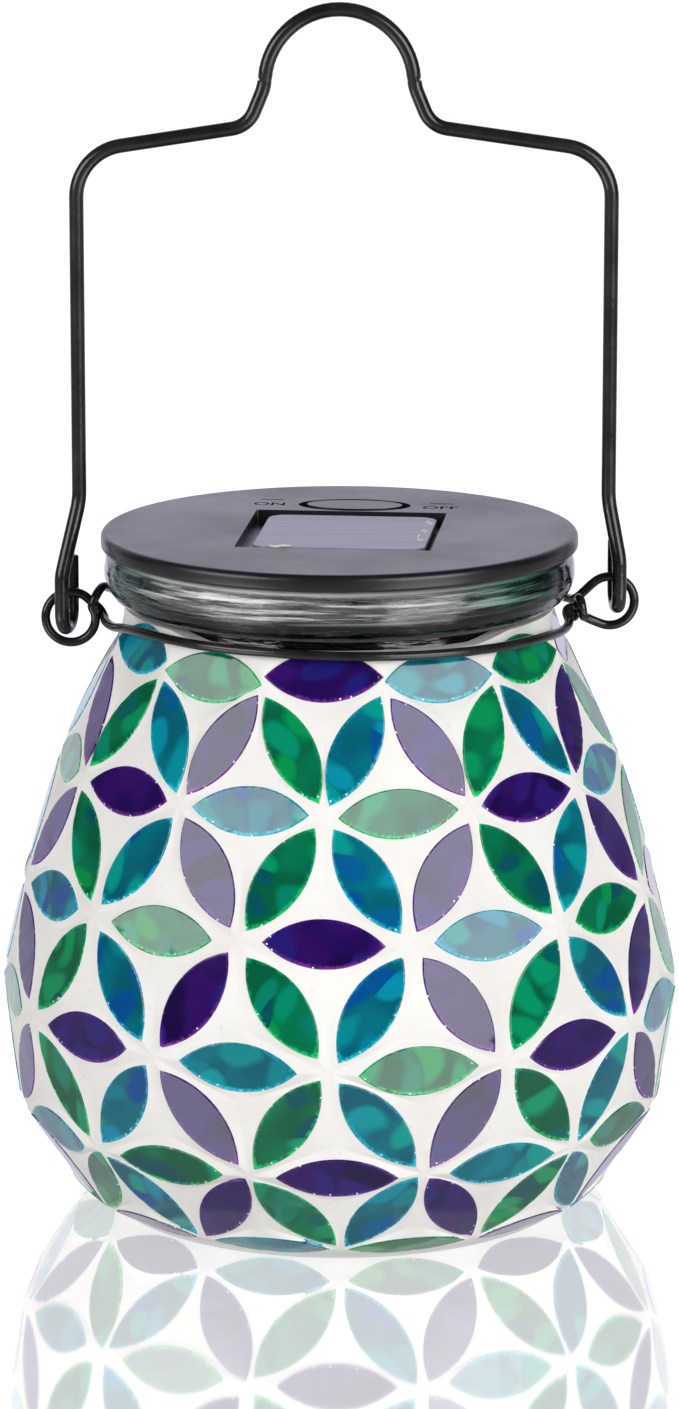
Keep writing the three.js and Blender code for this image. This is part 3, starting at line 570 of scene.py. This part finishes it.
def grout_patch(sides):
    """A three-cornered patch: each side meets two spokes from the corners to the middle."""
    outward = sum((s[len(s) // 2] for s in sides), Vector()) / 3
    middle = outward + Vector((outward.x, outward.y, 0)).normalized() * GROUT_CROWN
    for side in sides:
        shares = [j / (len(side) - 1) for j in range(len(side))]
        grout_strip(side, [
            side[0 if t <= 0.5 else -1].lerp(middle, min(2 * t, 2 - 2 * t) ** 0.8)
            for t in shares])


WIPED_DEPTH, WIPED_REACH, WIPED_FADE, NECK_TURN_IN = 1.4, 38, 12, 3.2


def neck_height(azimuth):
    """The grout's upper edge: it was wiped away from the glass under the bead at the front."""
    away = (abs((azimuth + 180) % 360 - 180) - WIPED_REACH) / WIPED_FADE
    return NECK_EDGE[1] - WIPED_DEPTH * (1 - max(0, min(1, away)))


def joint_edge(start, end, neck=False, inset=0):
    """Points along the foot's or the neck's edge from below or above one node to the next."""
    (first, _), (last, _) = net_node(*start), net_node(*end)
    count = EDGE_STEPS + 2
    turns = [first + (last - first) * j / count for j in range(count + 1)]
    return [on_surface(turn, neck_height(turn) if neck else FOOT_EDGE[1], inset) for turn in turns]


top = len(RING_HEIGHTS) - 1
for ring, i, step in NET:
    here, right, level = (ring, step), (ring, step + 2), petals[ring, i, "level"]
    if ring < top:
        above, above_right = (ring + 1, step + 1), (ring + 1, step + 3)
        rising, falling = petals[ring, i, "right"], petals[ring, i, "left"]
        next_rising = petals[ring, (i + 1) % NODES_PER_RING, "right"]
        level_above = petals[ring + 1, (i + ring % 2) % NODES_PER_RING, "level"]
        grout_patch([joint_side(here, right, level, 1), joint_side(right, above, falling, 1),
                     joint_side(above, here, rising, -1)])
        grout_patch([joint_side(above_right, above, level_above, -1),
                     joint_side(above, right, falling, -1),
                     joint_side(right, above_right, next_rising, 1)])
    if ring == 0:
        grout_strip(joint_side(right, here, level, -1), joint_edge(right, here))
    if ring == top:
        edge = joint_edge(here, right, neck=True)
        grout_strip(joint_side(here, right, level, 1), edge)
        grout_strip(edge, joint_edge(here, right, neck=True, inset=NECK_TURN_IN))

# Cement grout, floated and wiped: matt and chalky, with sand pits 0.2 to 0.5 mm across drawn as
# darker specks of painted shade, and faintly uneven in tone
cement = new_material("white_cement_grout")
cement_place = add_node(cement, "TexCoord").outputs["Object"]
sand = add_node(cement, "TexNoise", {
    "Vector": cement_place, "Scale": 1400, "Detail": 3.0, "Roughness": 0.6})
cloud = add_node(cement, "TexNoise", {"Vector": cement_place, "Scale": 60, "Detail": 3.0})
# Painted shade: the pits have no relief, only darker specks in the colour
painted_pit_shade = add_node(cement, "TexVoronoi", {"Vector": cement_place, "Scale": 260})
cement_tone = add_node(cement, "Mix", {
    "Factor": ("ValToRGB", {"Fac": painted_pit_shade}, ((0.05, 0.35), (0.12, 0))),
    "A": ("ValToRGB", {"Fac": cloud}, ((0.3, "#e3e0dc"), (0.7, "#edebe7"))),
    "B": "#cfc9c1"}, data_type="RGBA")
add_node(cement, "OutputMaterial", {"Surface": ("BsdfPrincipled", {
    "Base Color": cement_tone, "Roughness": 0.82, "IOR": 1.45,
    "Normal": ("Bump", {"Height": sand, "Strength": 0.35, "Distance": 0.00015})})})
grout = mesh_piece("grout", grout_points, grout_faces, cement, smooth=60)
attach(grout, "jar")
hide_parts("mosaic_shell")


# Neck collar: one soft iron wire bent by hand round the neck, with an eye at each side and its
# tail wound round its own start. It is dipped in black enamel, like the handle.

def tube_faces(sides, rings, first=0):
    """The two ends and the walls of a tube whose rings of points follow each other."""
    loops = [range(n, n + sides) for n in range(first, first + sides * rings, sides)]
    return [tuple(loops[0])[::-1], tuple(loops[-1]), *walls(loops)]


def wire_piece(name, path, diameter, material, sides=14):
    """A round wire along a path of points, with its cut ends slightly rounded."""
    radius = diameter / 2
    path = [Vector(p) for p in path]
    tangents = [(b - a).normalized() for a, b in zip([path[0], *path], [*path[1:], path[-1]])]
    tangents[0], tangents[-1] = ((b - a).normalized() for a, b in (path[:2], path[-2:]))
    side = tangents[0].orthogonal().normalized()
    rings = []
    for place, tangent in zip(path, tangents):
        side = (side - tangent * side.dot(tangent)).normalized()
        rings.append((place, side, tangent.cross(side), radius))
    for end, way in ((0, -1), (-1, 1)):
        place, across, over, _ = rings[end]
        extra = [(place + tangents[end] * way * radius * reach, across, over, radius * share)
                 for reach, share in ((0.12, 0.93), (0.2, 0.75))]
        rings = extra[::-1] + rings if end == 0 else rings + extra
    turns = [math.tau * k / sides for k in range(sides)]
    points = [place + (across * math.cos(a) + over * math.sin(a)) * r
              for place, across, over, r in rings for a in turns]
    return mesh_piece(name, points, tube_faces(sides, len(rings)), material, smooth=50)


def mottled_finish(name, dark, bright, drift, shader, low=0.3, stretch=(1, 1, 1), gloss=None,
                   grain=None):
    """A material whose tone drifts between two colours, by a noise with the inputs `drift`.
    `gloss` lets the roughness drift too; `grain` is a relief's scale, strength and depth."""
    material = new_material(name)
    place = add_node(material, "Mapping", {
        "Vector": add_node(material, "TexCoord").outputs["Object"], "Scale": stretch})
    noise = add_node(material, "TexNoise", {"Vector": place, **drift})
    look = {"Base Color": ("ValToRGB", {"Fac": noise}, ((low, dark), (0.7, bright))), **shader}
    if gloss:
        look["Roughness"] = ("MapRange", {
            "Value": noise, "From Min": 0.3, "From Max": 0.7, "To Min": gloss[0],
            "To Max": gloss[1]})
    if grain:
        look["Normal"] = ("Bump", {
            "Height": ("TexNoise", {"Vector": place, "Scale": grain[0], "Detail": 2.0}),
            "Strength": grain[1], "Distance": grain[2]})
    add_node(material, "OutputMaterial", {"Surface": ("BsdfPrincipled", look)})
    return material


# Black enamel, dipped and baked: a thin satin coat with orange peel about 1 mm across, worn a
# touch browner and duller in patches of 7 mm
enamel = mottled_finish(
    "black_enamelled_wire", "#161616", "#262422",
    {"Scale": 140, "Detail": 4.0, "Roughness": 0.6}, {"IOR": 1.5}, low=0.35,
    gloss=(0.14, 0.26), grain=(900, 0.3, 0.0001))

COLLAR_RADIUS, COLLAR_HEIGHT, COLLAR_WIRE = 43.6, 117.3, 1.8
TILE_CLEARANCE, NECK_STEP = 1.5, 9
# Azimuth and height of the wire along the front, where it sags to the right
COLLAR_FRONT = [(-72, 115.6), (-60, 116.7), (-17, 116.85), (14, 116.35), (30, 116.05), (60, 115.5),
                (72, 114.8)]
LEFT_EYE, LEFT_EYE_RADIUS = (-52.1, 114.9), 4.85
RIGHT_EYE, RIGHT_EYE_RADIUS = (52.4, 118.1), 4.7
WRAP, WRAP_RADIUS, WRAP_PITCH, WRAP_LAST = (47.4, -1.6, 117.1), 1.82, 1.9, 390


def round_neck(first, last, front=False):
    """Points at even steps round the neck, clear of the tiles."""
    out = []
    for k in range(round(abs(last - first) / NECK_STEP) + 1):
        turn = first + math.copysign(NECK_STEP * k, last - first)
        z = read_line(COLLAR_FRONT, turn) if front else COLLAR_HEIGHT
        r, a = max(COLLAR_RADIUS, surface_radius(z) + TILE_CLEARANCE), math.radians(turn)
        out.append((r * math.sin(a), -r * math.cos(a), z))
    return out


def round_eye(middle, radius, first, last, step, lean_first, lean_last):
    """Points round an eye, leaning from front to back so that the wire passes itself."""
    count = round(abs(last - first) / step)
    turns = (math.radians(first + (last - first) * k / count) for k in range(count + 1))
    return [(middle[0] + radius * math.cos(a), lean_first + (lean_last - lean_first) * k / count,
             middle[1] + radius * math.sin(a)) for k, a in enumerate(turns)]


collar_path = [WRAP, (44.8, WRAP[1], WRAP[2]), (43.9, -2.8, 116.6), (44.3, -4.6, 115.2),
               (44.0, -7.2, 114.7)]
collar_path += round_neck(72, -72, front=True)
collar_path += [(-43.6, -9.2, 114.9), (-45.2, -4.0, 114.9), (-45.6, -0.9, 115.2),
                (-46.6, 0.9, 116.4)]
collar_path += round_eye(LEFT_EYE, LEFT_EYE_RADIUS, 40, 390, 17.5, 0.8, -1.5)
collar_path += [(-47.1, -1.2, 119.3), (-46.1, 1.0, 120.5), (-45.0, 5.0, 119.7),
                (-43.4, 9.6, 118.2)]
collar_path += round_neck(-111, -255)
collar_path += [(44.5, 7.4, 117.1), (46.0, 3.7, 117.9)]
collar_path += round_eye(RIGHT_EYE, RIGHT_EYE_RADIUS, 126, -108, 18, 0.6, -0.7)
for turn in range(0, WRAP_LAST + 1, 30):
    a = math.radians(turn)
    collar_path.append((WRAP[0] - WRAP_PITCH * turn / 360, WRAP[1] - WRAP_RADIUS * math.sin(a),
                        WRAP[2] - WRAP_RADIUS * math.cos(a)))
collar = wire_piece("neck_collar", smooth_line(collar_path, 4), COLLAR_WIRE, enamel)
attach(collar, "jar")
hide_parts("neck_wire")


# Bail handle: one 2.8 mm steel wire, bent over formers into an arch, shoulders and straight
# legs. Each end is hooked through an eye and swings there.

def bent_run(corners):
    """Straight runs with a round bend at each inner corner; a corner is (point, bend radius)."""
    places = [Vector(place) for place, _ in corners]
    path = places[:1]
    for before, corner, after, (_, radius) in zip(places, places[1:], places[2:], corners[1:]):
        path += bend_points(before, corner, after, radius, None)
    return [*path, places[-1]]


HANDLE_WIRE, HOOK_REACH, HOOK_TAIL, HOOK_RISE = 2.8, 3.5, 6.5, 4
KNEE_HEIGHT, SHOULDER_HEIGHT, ARCH_TOP = 138, 205.2, 232.4
ARCH_FOOT, ARCH_SIDE, ARCH_BEND = (17.4, 210.2), (14.2, 218), 14.15


def handle_side(leg, hook, skew, pivot, bottom, sign):
    """From a hook's tail, round the eye and up the leg, over the shoulder to the arch."""
    bend = HOOK_REACH - 0.05
    front, back = hook + sign * skew, hook - sign * skew
    return [((back, HOOK_REACH, pivot + HOOK_TAIL), 0), ((back, HOOK_REACH, bottom), bend),
            ((front, -HOOK_REACH, bottom), bend), ((front, -HOOK_REACH, pivot + HOOK_RISE), 8),
            ((leg, 0, KNEE_HEIGHT), 12), ((leg, 0, SHOULDER_HEIGHT), 10),
            ((sign * ARCH_FOOT[0], 0, ARCH_FOOT[1]), 5.5),
            ((sign * ARCH_SIDE[0], 0, ARCH_SIDE[1]), 8),
            ((sign * ARCH_SIDE[0], 0, ARCH_TOP), ARCH_BEND)]


left_side = handle_side(leg=-50.2, hook=-52.8, skew=0.8, pivot=119.7, bottom=112.9, sign=-1)
right_side = handle_side(leg=51.9, hook=53.7, skew=0.3, pivot=122.8, bottom=117.1, sign=1)
handle = wire_piece("handle_wire", bent_run(left_side + right_side[::-1]), HANDLE_WIRE, enamel,
                    sides=20)
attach(handle, "handle")
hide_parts("bail_handle")


# Lid cap: an injection-moulded ABS disc with a soft edge. It has a square recess for the solar
# panel, an oval hole for the switch, and the words ON and OFF sunk into its face.

LID_TURN = math.radians(-5.7)
LID_RADIUS, LID_BOTTOM, LID_TOP = 46.1, 129.0, 132.3
RECESS, RECESS_WIDTH, RECESS_DEPTH, RECESS_CORNER = (0.5, -1.1), 37.5, 38.0, 0.4
RECESS_FLOOR, CUT_TOP = 129.8, LID_TOP + 1
ROCKER, ROCKER_LENGTH, ROCKER_WIDTH, ROCKER_GAP = (3.0, 24.5), 21.6, 11.9, 0.6


def on_lid(x, y, z, middle=(0, 0)):
    """A point given in the lid's own directions, from a middle given in the lantern's."""
    return (middle[0] + x * math.cos(LID_TURN) - y * math.sin(LID_TURN),
            middle[1] + x * math.sin(LID_TURN) + y * math.cos(LID_TURN), z)


def slab(name, outlines, bottom, top, middle, material):
    """Upright slabs on the lid, from their anticlockwise outlines."""
    points, faces = [], []
    for outline in outlines:
        faces += tube_faces(len(outline), 2, len(points))
        points += [on_lid(x, y, z, middle) for z in (bottom, top) for x, y in outline]
    return mesh_piece(name, points, faces, material)


def rounded_box(width, depth, corner, steps=6):
    out = []
    for quarter, (sx, sy) in enumerate(((1, 1), (-1, 1), (-1, -1), (1, -1))):
        for k in range(steps + 1):
            a = math.radians(90 * (quarter + k / steps))
            out.append((sx * (width / 2 - corner) + corner * math.cos(a),
                        sy * (depth / 2 - corner) + corner * math.sin(a)))
    return out


def oval(length, width, count=72):
    turns = (math.tau * k / count for k in range(count))
    return [(length / 2 * math.cos(a), width / 2 * math.sin(a)) for a in turns]


def evaluated_mesh(piece):
    """A new mesh of a piece or a word as its modifiers and outlines make it."""
    bpy.context.view_layer.update()
    view = bpy.context.evaluated_depsgraph_get()
    return bpy.data.meshes.new_from_object(piece.evaluated_get(view))


def carve(piece, tools, soften=0.0):
    """Cuts the tools out of a piece, rounds the new edges and deletes the tools."""
    for tool in tools:
        modifier = piece.modifiers.new("cut", "BOOLEAN")
        modifier.object, modifier.operation, modifier.solver = tool, "DIFFERENCE", "EXACT"
    if soften:
        bevel = piece.modifiers.new("soft_edges", "BEVEL")
        bevel.width, bevel.segments = soften / 1000, 3
        bevel.limit_method, bevel.angle_limit = "ANGLE", math.radians(50)
    mesh = evaluated_mesh(piece)
    piece.modifiers.clear()
    piece.data = mesh
    mesh.shade_smooth()
    mesh.set_sharp_from_angle(angle=math.radians(35))
    # Level and large faces shade as flat, whatever the rounding beside them
    normals = [normal.vector.copy() for normal in mesh.corner_normals]
    largest = max(face.area for face in mesh.polygons)
    for face in mesh.polygons:
        if abs(face.normal.z) > 0.9999 or face.area > largest / 4:
            for corner in face.loop_indices:
                normals[corner] = face.normal.copy()
    mesh.normals_split_custom_set(normals)
    for tool in tools:
        bpy.data.objects.remove(tool)


# Black ABS, injection-moulded: a spark-eroded satin grain of 0.6 mm that turns grey where it
# mirrors the backdrop, and handling marks about 20 mm wide
abs_black = mottled_finish(
    "satin_black_abs", "#110e12", "#1a171c",
    {"Scale": 55, "Detail": 5.0, "Roughness": 0.6}, {"IOR": 1.53},
    gloss=(0.26, 0.36), grain=(1600, 0.25, 0.00008))

lid = lathe("lid_cover", rounded([(0, LID_BOTTOM, 0), (LID_RADIUS, LID_BOTTOM, 0.8),
                                  (LID_RADIUS, LID_TOP, 1.2), (LID_RADIUS - 1.4, LID_TOP, 0),
                                  (0, LID_TOP, 0)]), abs_black, sides=160)
recess_tool = slab("recess_tool", [rounded_box(RECESS_WIDTH, RECESS_DEPTH, RECESS_CORNER)],
                   RECESS_FLOOR, CUT_TOP, RECESS, abs_black)
oval_tool = slab("oval_tool", [oval(ROCKER_LENGTH + ROCKER_GAP, ROCKER_WIDTH + ROCKER_GAP)],
                 LID_BOTTOM - 1, CUT_TOP, ROCKER, abs_black)

# The words and the short bars behind them are pressed into the face
SUNK, LETTER_HEIGHT, LETTER_SWELL = LID_TOP - 0.45, 2.9, 0.06
BAR_LENGTH, BAR_WIDTH, WORD_TOP = 4.6, 0.6, LID_TOP + 0.5
# Each word with the middle of its letters and of its bar
WORDS = (("ON", (-13.8, 25.6), (-13.3, 30.3)), ("OFF", (19.8, 21.4), (20.3, 25.6)))


def letters(text, middle):
    """Moulded capitals as a mesh, from a font's outlines, to cut from the face."""
    curve = bpy.data.curves.new(text, "FONT")
    curve.body, curve.size = text, LETTER_HEIGHT / 1000 * 1.4
    curve.align_x, curve.align_y = "CENTER", "CENTER"
    curve.extrude = (WORD_TOP - SUNK) / 2000
    curve.offset = LETTER_SWELL / 1000
    holder = bpy.data.objects.new(f"{text}_letters", curve)
    holder.location = [c / 1000 for c in (*middle, (SUNK + WORD_TOP) / 2)]
    holder.rotation_euler = (0, 0, LID_TURN)
    scene.collection.objects.link(holder)
    mesh = evaluated_mesh(holder)
    mesh.transform(holder.matrix_world)
    bpy.data.objects.remove(holder)
    mesh.materials.clear()
    mesh.materials.append(abs_black)
    piece = bpy.data.objects.new(f"{text.lower()}_letters", mesh)
    scene.collection.objects.link(piece)
    return piece


def bar(x, y, length, width):
    half, side = length / 2, width / 2
    return [(x - half, y - side), (x + half, y - side), (x + half, y + side), (x - half, y + side)]


word_tools = [letters(word, middle) for word, middle, _ in WORDS]
word_tools += [slab(f"{word.lower()}_bar", [bar(0, 0, BAR_LENGTH, BAR_WIDTH)], SUNK, WORD_TOP,
                    middle, abs_black) for word, _, middle in WORDS]
carve(lid, [recess_tool, oval_tool], soften=0.2)
carve(lid, word_tools)
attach(lid, "lid")
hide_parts("lid_cap")


# Rocker: the oval switch cap of the same black ABS. Its finger pad has a shallow dish and a
# small raised dot, and a sunk skirt round it leaves a dark moat. It tips about its middle.

ROCKER_TOP, SKIRT_BOTTOM, SKIRT_TOP = 132.4, 130.0, 131.2
PAD_LENGTH, PAD_WIDTH, PAD_BOTTOM = 18.8, 9.2, 131.1
STEM_WIDTH, STEM_DEPTH, STEM_BOTTOM, STEM_TOP = 5, 6, 129.2, 130.2
skirt = slab("rocker_skirt", [oval(ROCKER_LENGTH, ROCKER_WIDTH)], SKIRT_BOTTOM, SKIRT_TOP,
             ROCKER, abs_black)
carve(skirt, [], soften=0.2)
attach(skirt, "rocker")
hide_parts("rocker_cap")
rocker = slab("rocker_button", [oval(PAD_LENGTH, PAD_WIDTH)], PAD_BOTTOM, ROCKER_TOP, ROCKER,
              abs_black)

# The dish is cut with a slice of a lying cylinder
DISH_DEPTH, DISH_RIM, DISH_STEPS, DISH_OVERRUN = 0.3, 0.6, 24, 1.15
dish_reach = PAD_LENGTH / 2 - DISH_RIM
dish_radius = (dish_reach ** 2 + DISH_DEPTH ** 2) / (2 * DISH_DEPTH)
dish_turns = [math.asin(dish_reach / dish_radius) * (2 * k / DISH_STEPS - 1) * DISH_OVERRUN
              for k in range(DISH_STEPS + 1)]
dish_low = ROCKER_TOP - DISH_DEPTH
dish_outline = [(dish_radius * math.sin(a), dish_low + dish_radius * (1 - math.cos(a)))
                for a in dish_turns]
dish_points = [on_lid(x, y, z, ROCKER) for y in (-12, 12) for x, z in dish_outline]
dish = mesh_piece("dish_tool", dish_points, tube_faces(len(dish_outline), 2), abs_black)
carve(rocker, [dish], soften=0.3)
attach(rocker, "rocker")
stem = slab("rocker_stem", [rounded_box(STEM_WIDTH, STEM_DEPTH, 0.4)], STEM_BOTTOM, STEM_TOP,
            ROCKER, abs_black)
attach(stem, "rocker")


def dome(radius, rise, foot):
    """The section of a small round blob, from its edge to its top."""
    turns = [math.radians(a) for a in range(0, 90, 15)]
    return [(radius * math.cos(a), foot + rise * math.sin(a)) for a in turns] + [(0, foot + rise)]


DOT_RADIUS, DOT_RISE, DOT_ROOT, DOT_FOOT = 0.6, 0.35, 0.2, ROCKER_TOP - DISH_DEPTH - 0.1
dot = lathe("rocker_dot", [(0, DOT_FOOT - DOT_ROOT), (DOT_RADIUS, DOT_FOOT - DOT_ROOT),
                           *dome(DOT_RADIUS, DOT_RISE, DOT_FOOT)], abs_black, sides=24)
dot.location = (ROCKER[0] / 1000, ROCKER[1] / 1000, 0)
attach(dot, "rocker")


# Solar panel: a square of printed silicon under a skin of clear epoxy, glued into the recess.
# It looks pale lavender where the epoxy mirrors the backdrop, and this reflection is also painted
# into its colour; it has silver fingers at one side.

# Epoxy over silicon, cast: semi-gloss, with the printed lines under it drawn 1.4 mm apart, as
# finer ones wouldn't show. Its pale lavender-grey base colour is a painted reflection of the
# backdrop
epoxy_with_painted_reflection = new_material("epoxy_coated_silicon")
epoxy_lines = add_node(epoxy_with_painted_reflection, "TexNoise", {
    "Vector": ("Mapping", {
        "Vector": add_node(epoxy_with_painted_reflection, "TexCoord").outputs["Object"], "Scale": (40, 700, 40)}),
    "Scale": 1.0, "Detail": 3.0})
add_node(epoxy_with_painted_reflection, "OutputMaterial", {"Surface": ("BsdfPrincipled", {
    "Base Color": ("ValToRGB", {"Fac": epoxy_lines}, ((0.3, "#6f6a80"), (0.7, "#8a849a"))),
    "Roughness": 0.3, "IOR": 1.54,
    "Normal": ("Bump", {"Height": epoxy_lines, "Strength": 0.1, "Distance": 0.0002})})})
PANEL, PANEL_WIDTH, PANEL_CORNER = (RECESS[0] + 0.7, RECESS[1]), 33, 3.5
PANEL_BOTTOM, PANEL_TOP = 130.8, 131.9
panel = slab("panel_epoxy", [rounded_box(PANEL_WIDTH, PANEL_WIDTH, PANEL_CORNER, 10)],
             PANEL_BOTTOM, PANEL_TOP, PANEL, epoxy_with_painted_reflection)
carve(panel, [], soften=0.18)
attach(panel, "lid")
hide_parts("panel_window")

# Silver paste, screen-printed and fired: pale, matt and faintly grainy
silver = mottled_finish("screen_printed_silver", "#c9c6c4", "#efedea",
                        {"Scale": 900, "Detail": 3.0}, {"Roughness": 0.5, "IOR": 1.5})
# Three printed marks, each of a short bar and a shorter one beside it: x, y, width and depth
FINGERS = ((14.9, 11.3, 0.7, 1.7), (15.5, 10.0, 0.8, 2.0), (14.8, 3.0, 0.7, 1.9),
           (15.4, 1.8, 0.7, 1.9), (14.4, -3.4, 0.35, 4.2), (15.1, -6.6, 1.2, 1.4))
fingers = slab("silver_fingers", [bar(*finger) for finger in FINGERS], PANEL_TOP - 0.02,
               PANEL_TOP + 0.03, PANEL, silver)
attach(fingers, "lid")

# Hot glue, squeezed and set: amber dots left in the two front corners of the recess, waxy and
# half clear. The string between them is as pale and matt as the silver marks
glue = mottled_finish(
    "amber_hot_glue", "#b9ac8e", "#d9d0ba", {"Scale": 700, "Detail": 2.0},
    {"Roughness": 0.25, "IOR": 1.48, "Subsurface Weight": 0.2})
for name, x, y, size in (("glue_dot_left", -17.3, -17.0, 0.8),
                         ("glue_dot_right", 16.2, -17.6, 1.0)):
    drop = lathe(name, [(0, RECESS_FLOOR), *dome(size, size * 1.1, RECESS_FLOOR)], glue, sides=20)
    drop.location = [c / 1000 for c in on_lid(x, y, 0, RECESS)]
    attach(drop, "lid")
string_path = [on_lid(x, y, z, RECESS) for x, y, z in (
    (-12.3, -15.9, 132.1), (-12.0, -17.2, 132.25), (-11.0, -18.3, 132.35), (-9.6, -17.9, 132.5),
    (-8.1, -17.0, 132.3))]
string = wire_piece("glue_string", smooth_line(string_path, 4), 0.5, silver, sides=8)
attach(string, "lid")


# Light module: a black polypropylene cup hung under the lid with three screws. A silicone ring
# grips the jar's mouth, and the battery bay has a screwed door.

def give(material, *names):
    """Puts a material on CAD nodes whose shape stays as it is."""
    for name in names:
        nodes[name].data.materials.clear()
        nodes[name].data.materials.append(material)


def round_copy(name, node, material):
    """A piece of the lid in a CAD node's own shape, with its round faces shaded as round."""
    mesh = nodes[node].data.copy()
    shape = bmesh.new()
    shape.from_mesh(mesh)
    bmesh.ops.remove_doubles(shape, verts=shape.verts, dist=1e-7)
    shape.to_mesh(mesh)
    shape.free()
    mesh.attributes.remove(mesh.attributes["custom_normal"])
    mesh.materials.clear()
    mesh.materials.append(material)
    mesh.shade_smooth()
    mesh.set_sharp_from_angle(angle=math.radians(30))
    piece = bpy.data.objects.new(name, mesh)
    piece.matrix_world = nodes[node].matrix_world
    scene.collection.objects.link(piece)
    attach(piece, "lid")
    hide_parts(node)


# Polypropylene, injection-moulded: dull black, with a grain of 0.8 mm and slow flow marks
polypropylene = mottled_finish(
    "black_moulded_polypropylene", "#151516", "#202022",
    {"Scale": 45, "Detail": 3.0}, {"Roughness": 0.5, "IOR": 1.49}, grain=(1300, 0.3, 0.0001))
give(polypropylene, "battery_door", "switch_body")
round_copy("housing_cup", "module_housing", polypropylene)

# Silicone rubber, moulded: soft pale grey, dusty in specks of 2 mm
silicone = mottled_finish("grey_silicone_rubber", "#bcbec0", "#d2d4d5",
                          {"Scale": 500, "Detail": 4.0}, {"Roughness": 0.6, "IOR": 1.41})
round_copy("mouth_ring", "seal_ring", silicone)

# Steel, zinc-plated over fine turned or drawn lines 0.4 mm apart: bright, but not a mirror
plated = mottled_finish(
    "zinc_plated_steel", "#a9abad", "#c6c8c9", {"Scale": 1.0, "Detail": 3.0},
    {"Roughness": 0.28, "Metallic": 1.0}, stretch=(300, 300, 2600))
give(plated, "door_screw_1", "door_screw_2", "housing_screw_1", "housing_screw_2",
     "housing_screw_3", "plate_contact", "spring_contact")

# Battery: a steel can in a shrunk film of green PVC, glossy and wrinkled, with bare metal ends
BATTERY_MIDDLE, FILM_HALF = 1.2, 21.4
film = new_material("green_shrink_film")
film_place = add_node(film, "TexCoord").outputs["Object"]
film_along = add_node(film, "SeparateXYZ", {"Vector": film_place})
film_end = add_node(film, "Math", {
    0: add_node(film, "Math", {0: film_along, 1: BATTERY_MIDDLE / 1000}, operation="SUBTRACT")},
    operation="ABSOLUTE")
film_bare = add_node(film, "ValToRGB", {"Fac": film_end}, (
    ((FILM_HALF - 0.2) / 1000, 0), ((FILM_HALF + 0.2) / 1000, 1)))
film_wrinkles = add_node(film, "TexNoise", {"Vector": film_place, "Scale": 260, "Detail": 3.0})
film_tone = add_node(film, "Mix", {
    "A": ("ValToRGB", {"Fac": film_wrinkles}, ((0.3, "#2c7a3c"), (0.7, "#3f9450"))),
    "B": "#b4b6b8", "Factor": film_bare}, data_type="RGBA")
add_node(film, "OutputMaterial", {"Surface": ("BsdfPrincipled", {
    "Base Color": film_tone, "Metallic": film_bare, "Roughness": 0.25,
    "Normal": ("Bump", {"Height": film_wrinkles, "Strength": 0.2, "Distance": 0.0002})})})
give(film, "battery")


# Light: an LED on a small green board, in a white reflector, behind a milky dome that spreads
# it into the jar. Two leads run up to the solar cell.

# Glass-fibre board under a green solder mask, printed: glossy, with traces 1 to 2 mm apart
solder_mask = new_material("green_solder_mask")
traces = add_node(solder_mask, "TexBrick", {
    "Vector": add_node(solder_mask, "TexCoord").outputs["Object"], "Scale": 260,
    "Mortar Size": 0.05, "Color1": "#1f5a2c", "Color2": "#256833", "Mortar": "#3f8a4c"})
add_node(solder_mask, "OutputMaterial", {"Surface": ("BsdfPrincipled", {
    "Base Color": traces, "Roughness": 0.3, "IOR": 1.5})})
give(solder_mask, "circuit_board")

# Silicon, sawn and printed: blue-black, with silver lines 2 mm apart
silicon_cell = new_material("blue_black_silicon_cell")
cell_lines = add_node(silicon_cell, "TexWave", {
    "Vector": add_node(silicon_cell, "TexCoord").outputs["Object"], "Scale": 160,
    "Distortion": 0.0}, wave_type="BANDS", bands_direction="X").outputs["Fac"]
add_node(silicon_cell, "OutputMaterial", {"Surface": ("BsdfPrincipled", {
    "Base Color": ("ValToRGB", {"Fac": cell_lines}, ((0.9, "#14193a"), (0.97, "#7a8096"))),
    "Roughness": 0.2, "IOR": 1.5})})
give(silicon_cell, "solar_cell")

# Epoxy, cast round the LED's chip: yellowish and half clear
led_resin = mottled_finish(
    "warm_led_resin", "#efe2b4", "#f8f0d4", {"Scale": 400, "Detail": 2.0},
    {"Roughness": 0.12, "IOR": 1.5, "Transmission Weight": 0.4})
give(led_resin, "led")

# Polystyrene, moulded with a white filler: milky and satin, with flow marks of 5 mm
milky = mottled_finish(
    "milky_polystyrene", "#e6e6e2", "#f2f2ef", {"Scale": 200, "Detail": 3.0},
    {"Roughness": 0.35, "IOR": 1.59, "Subsurface Weight": 0.3})
give(milky, "led_reflector")
round_copy("milky_dome", "diffuser_dome", milky)

# PVC, drawn over the leads' copper: soft and satin, one lead red and one black
for lead, dark, bright in (("cell_lead_positive", "#8e1f1b", "#a82c26"),
                           ("cell_lead_negative", "#1a1a1c", "#262628")):
    pvc = mottled_finish(f"pvc_insulation_{lead}", dark, bright,
                         {"Scale": 600, "Detail": 2.0}, {"Roughness": 0.45, "IOR": 1.53})
    give(pvc, lead)
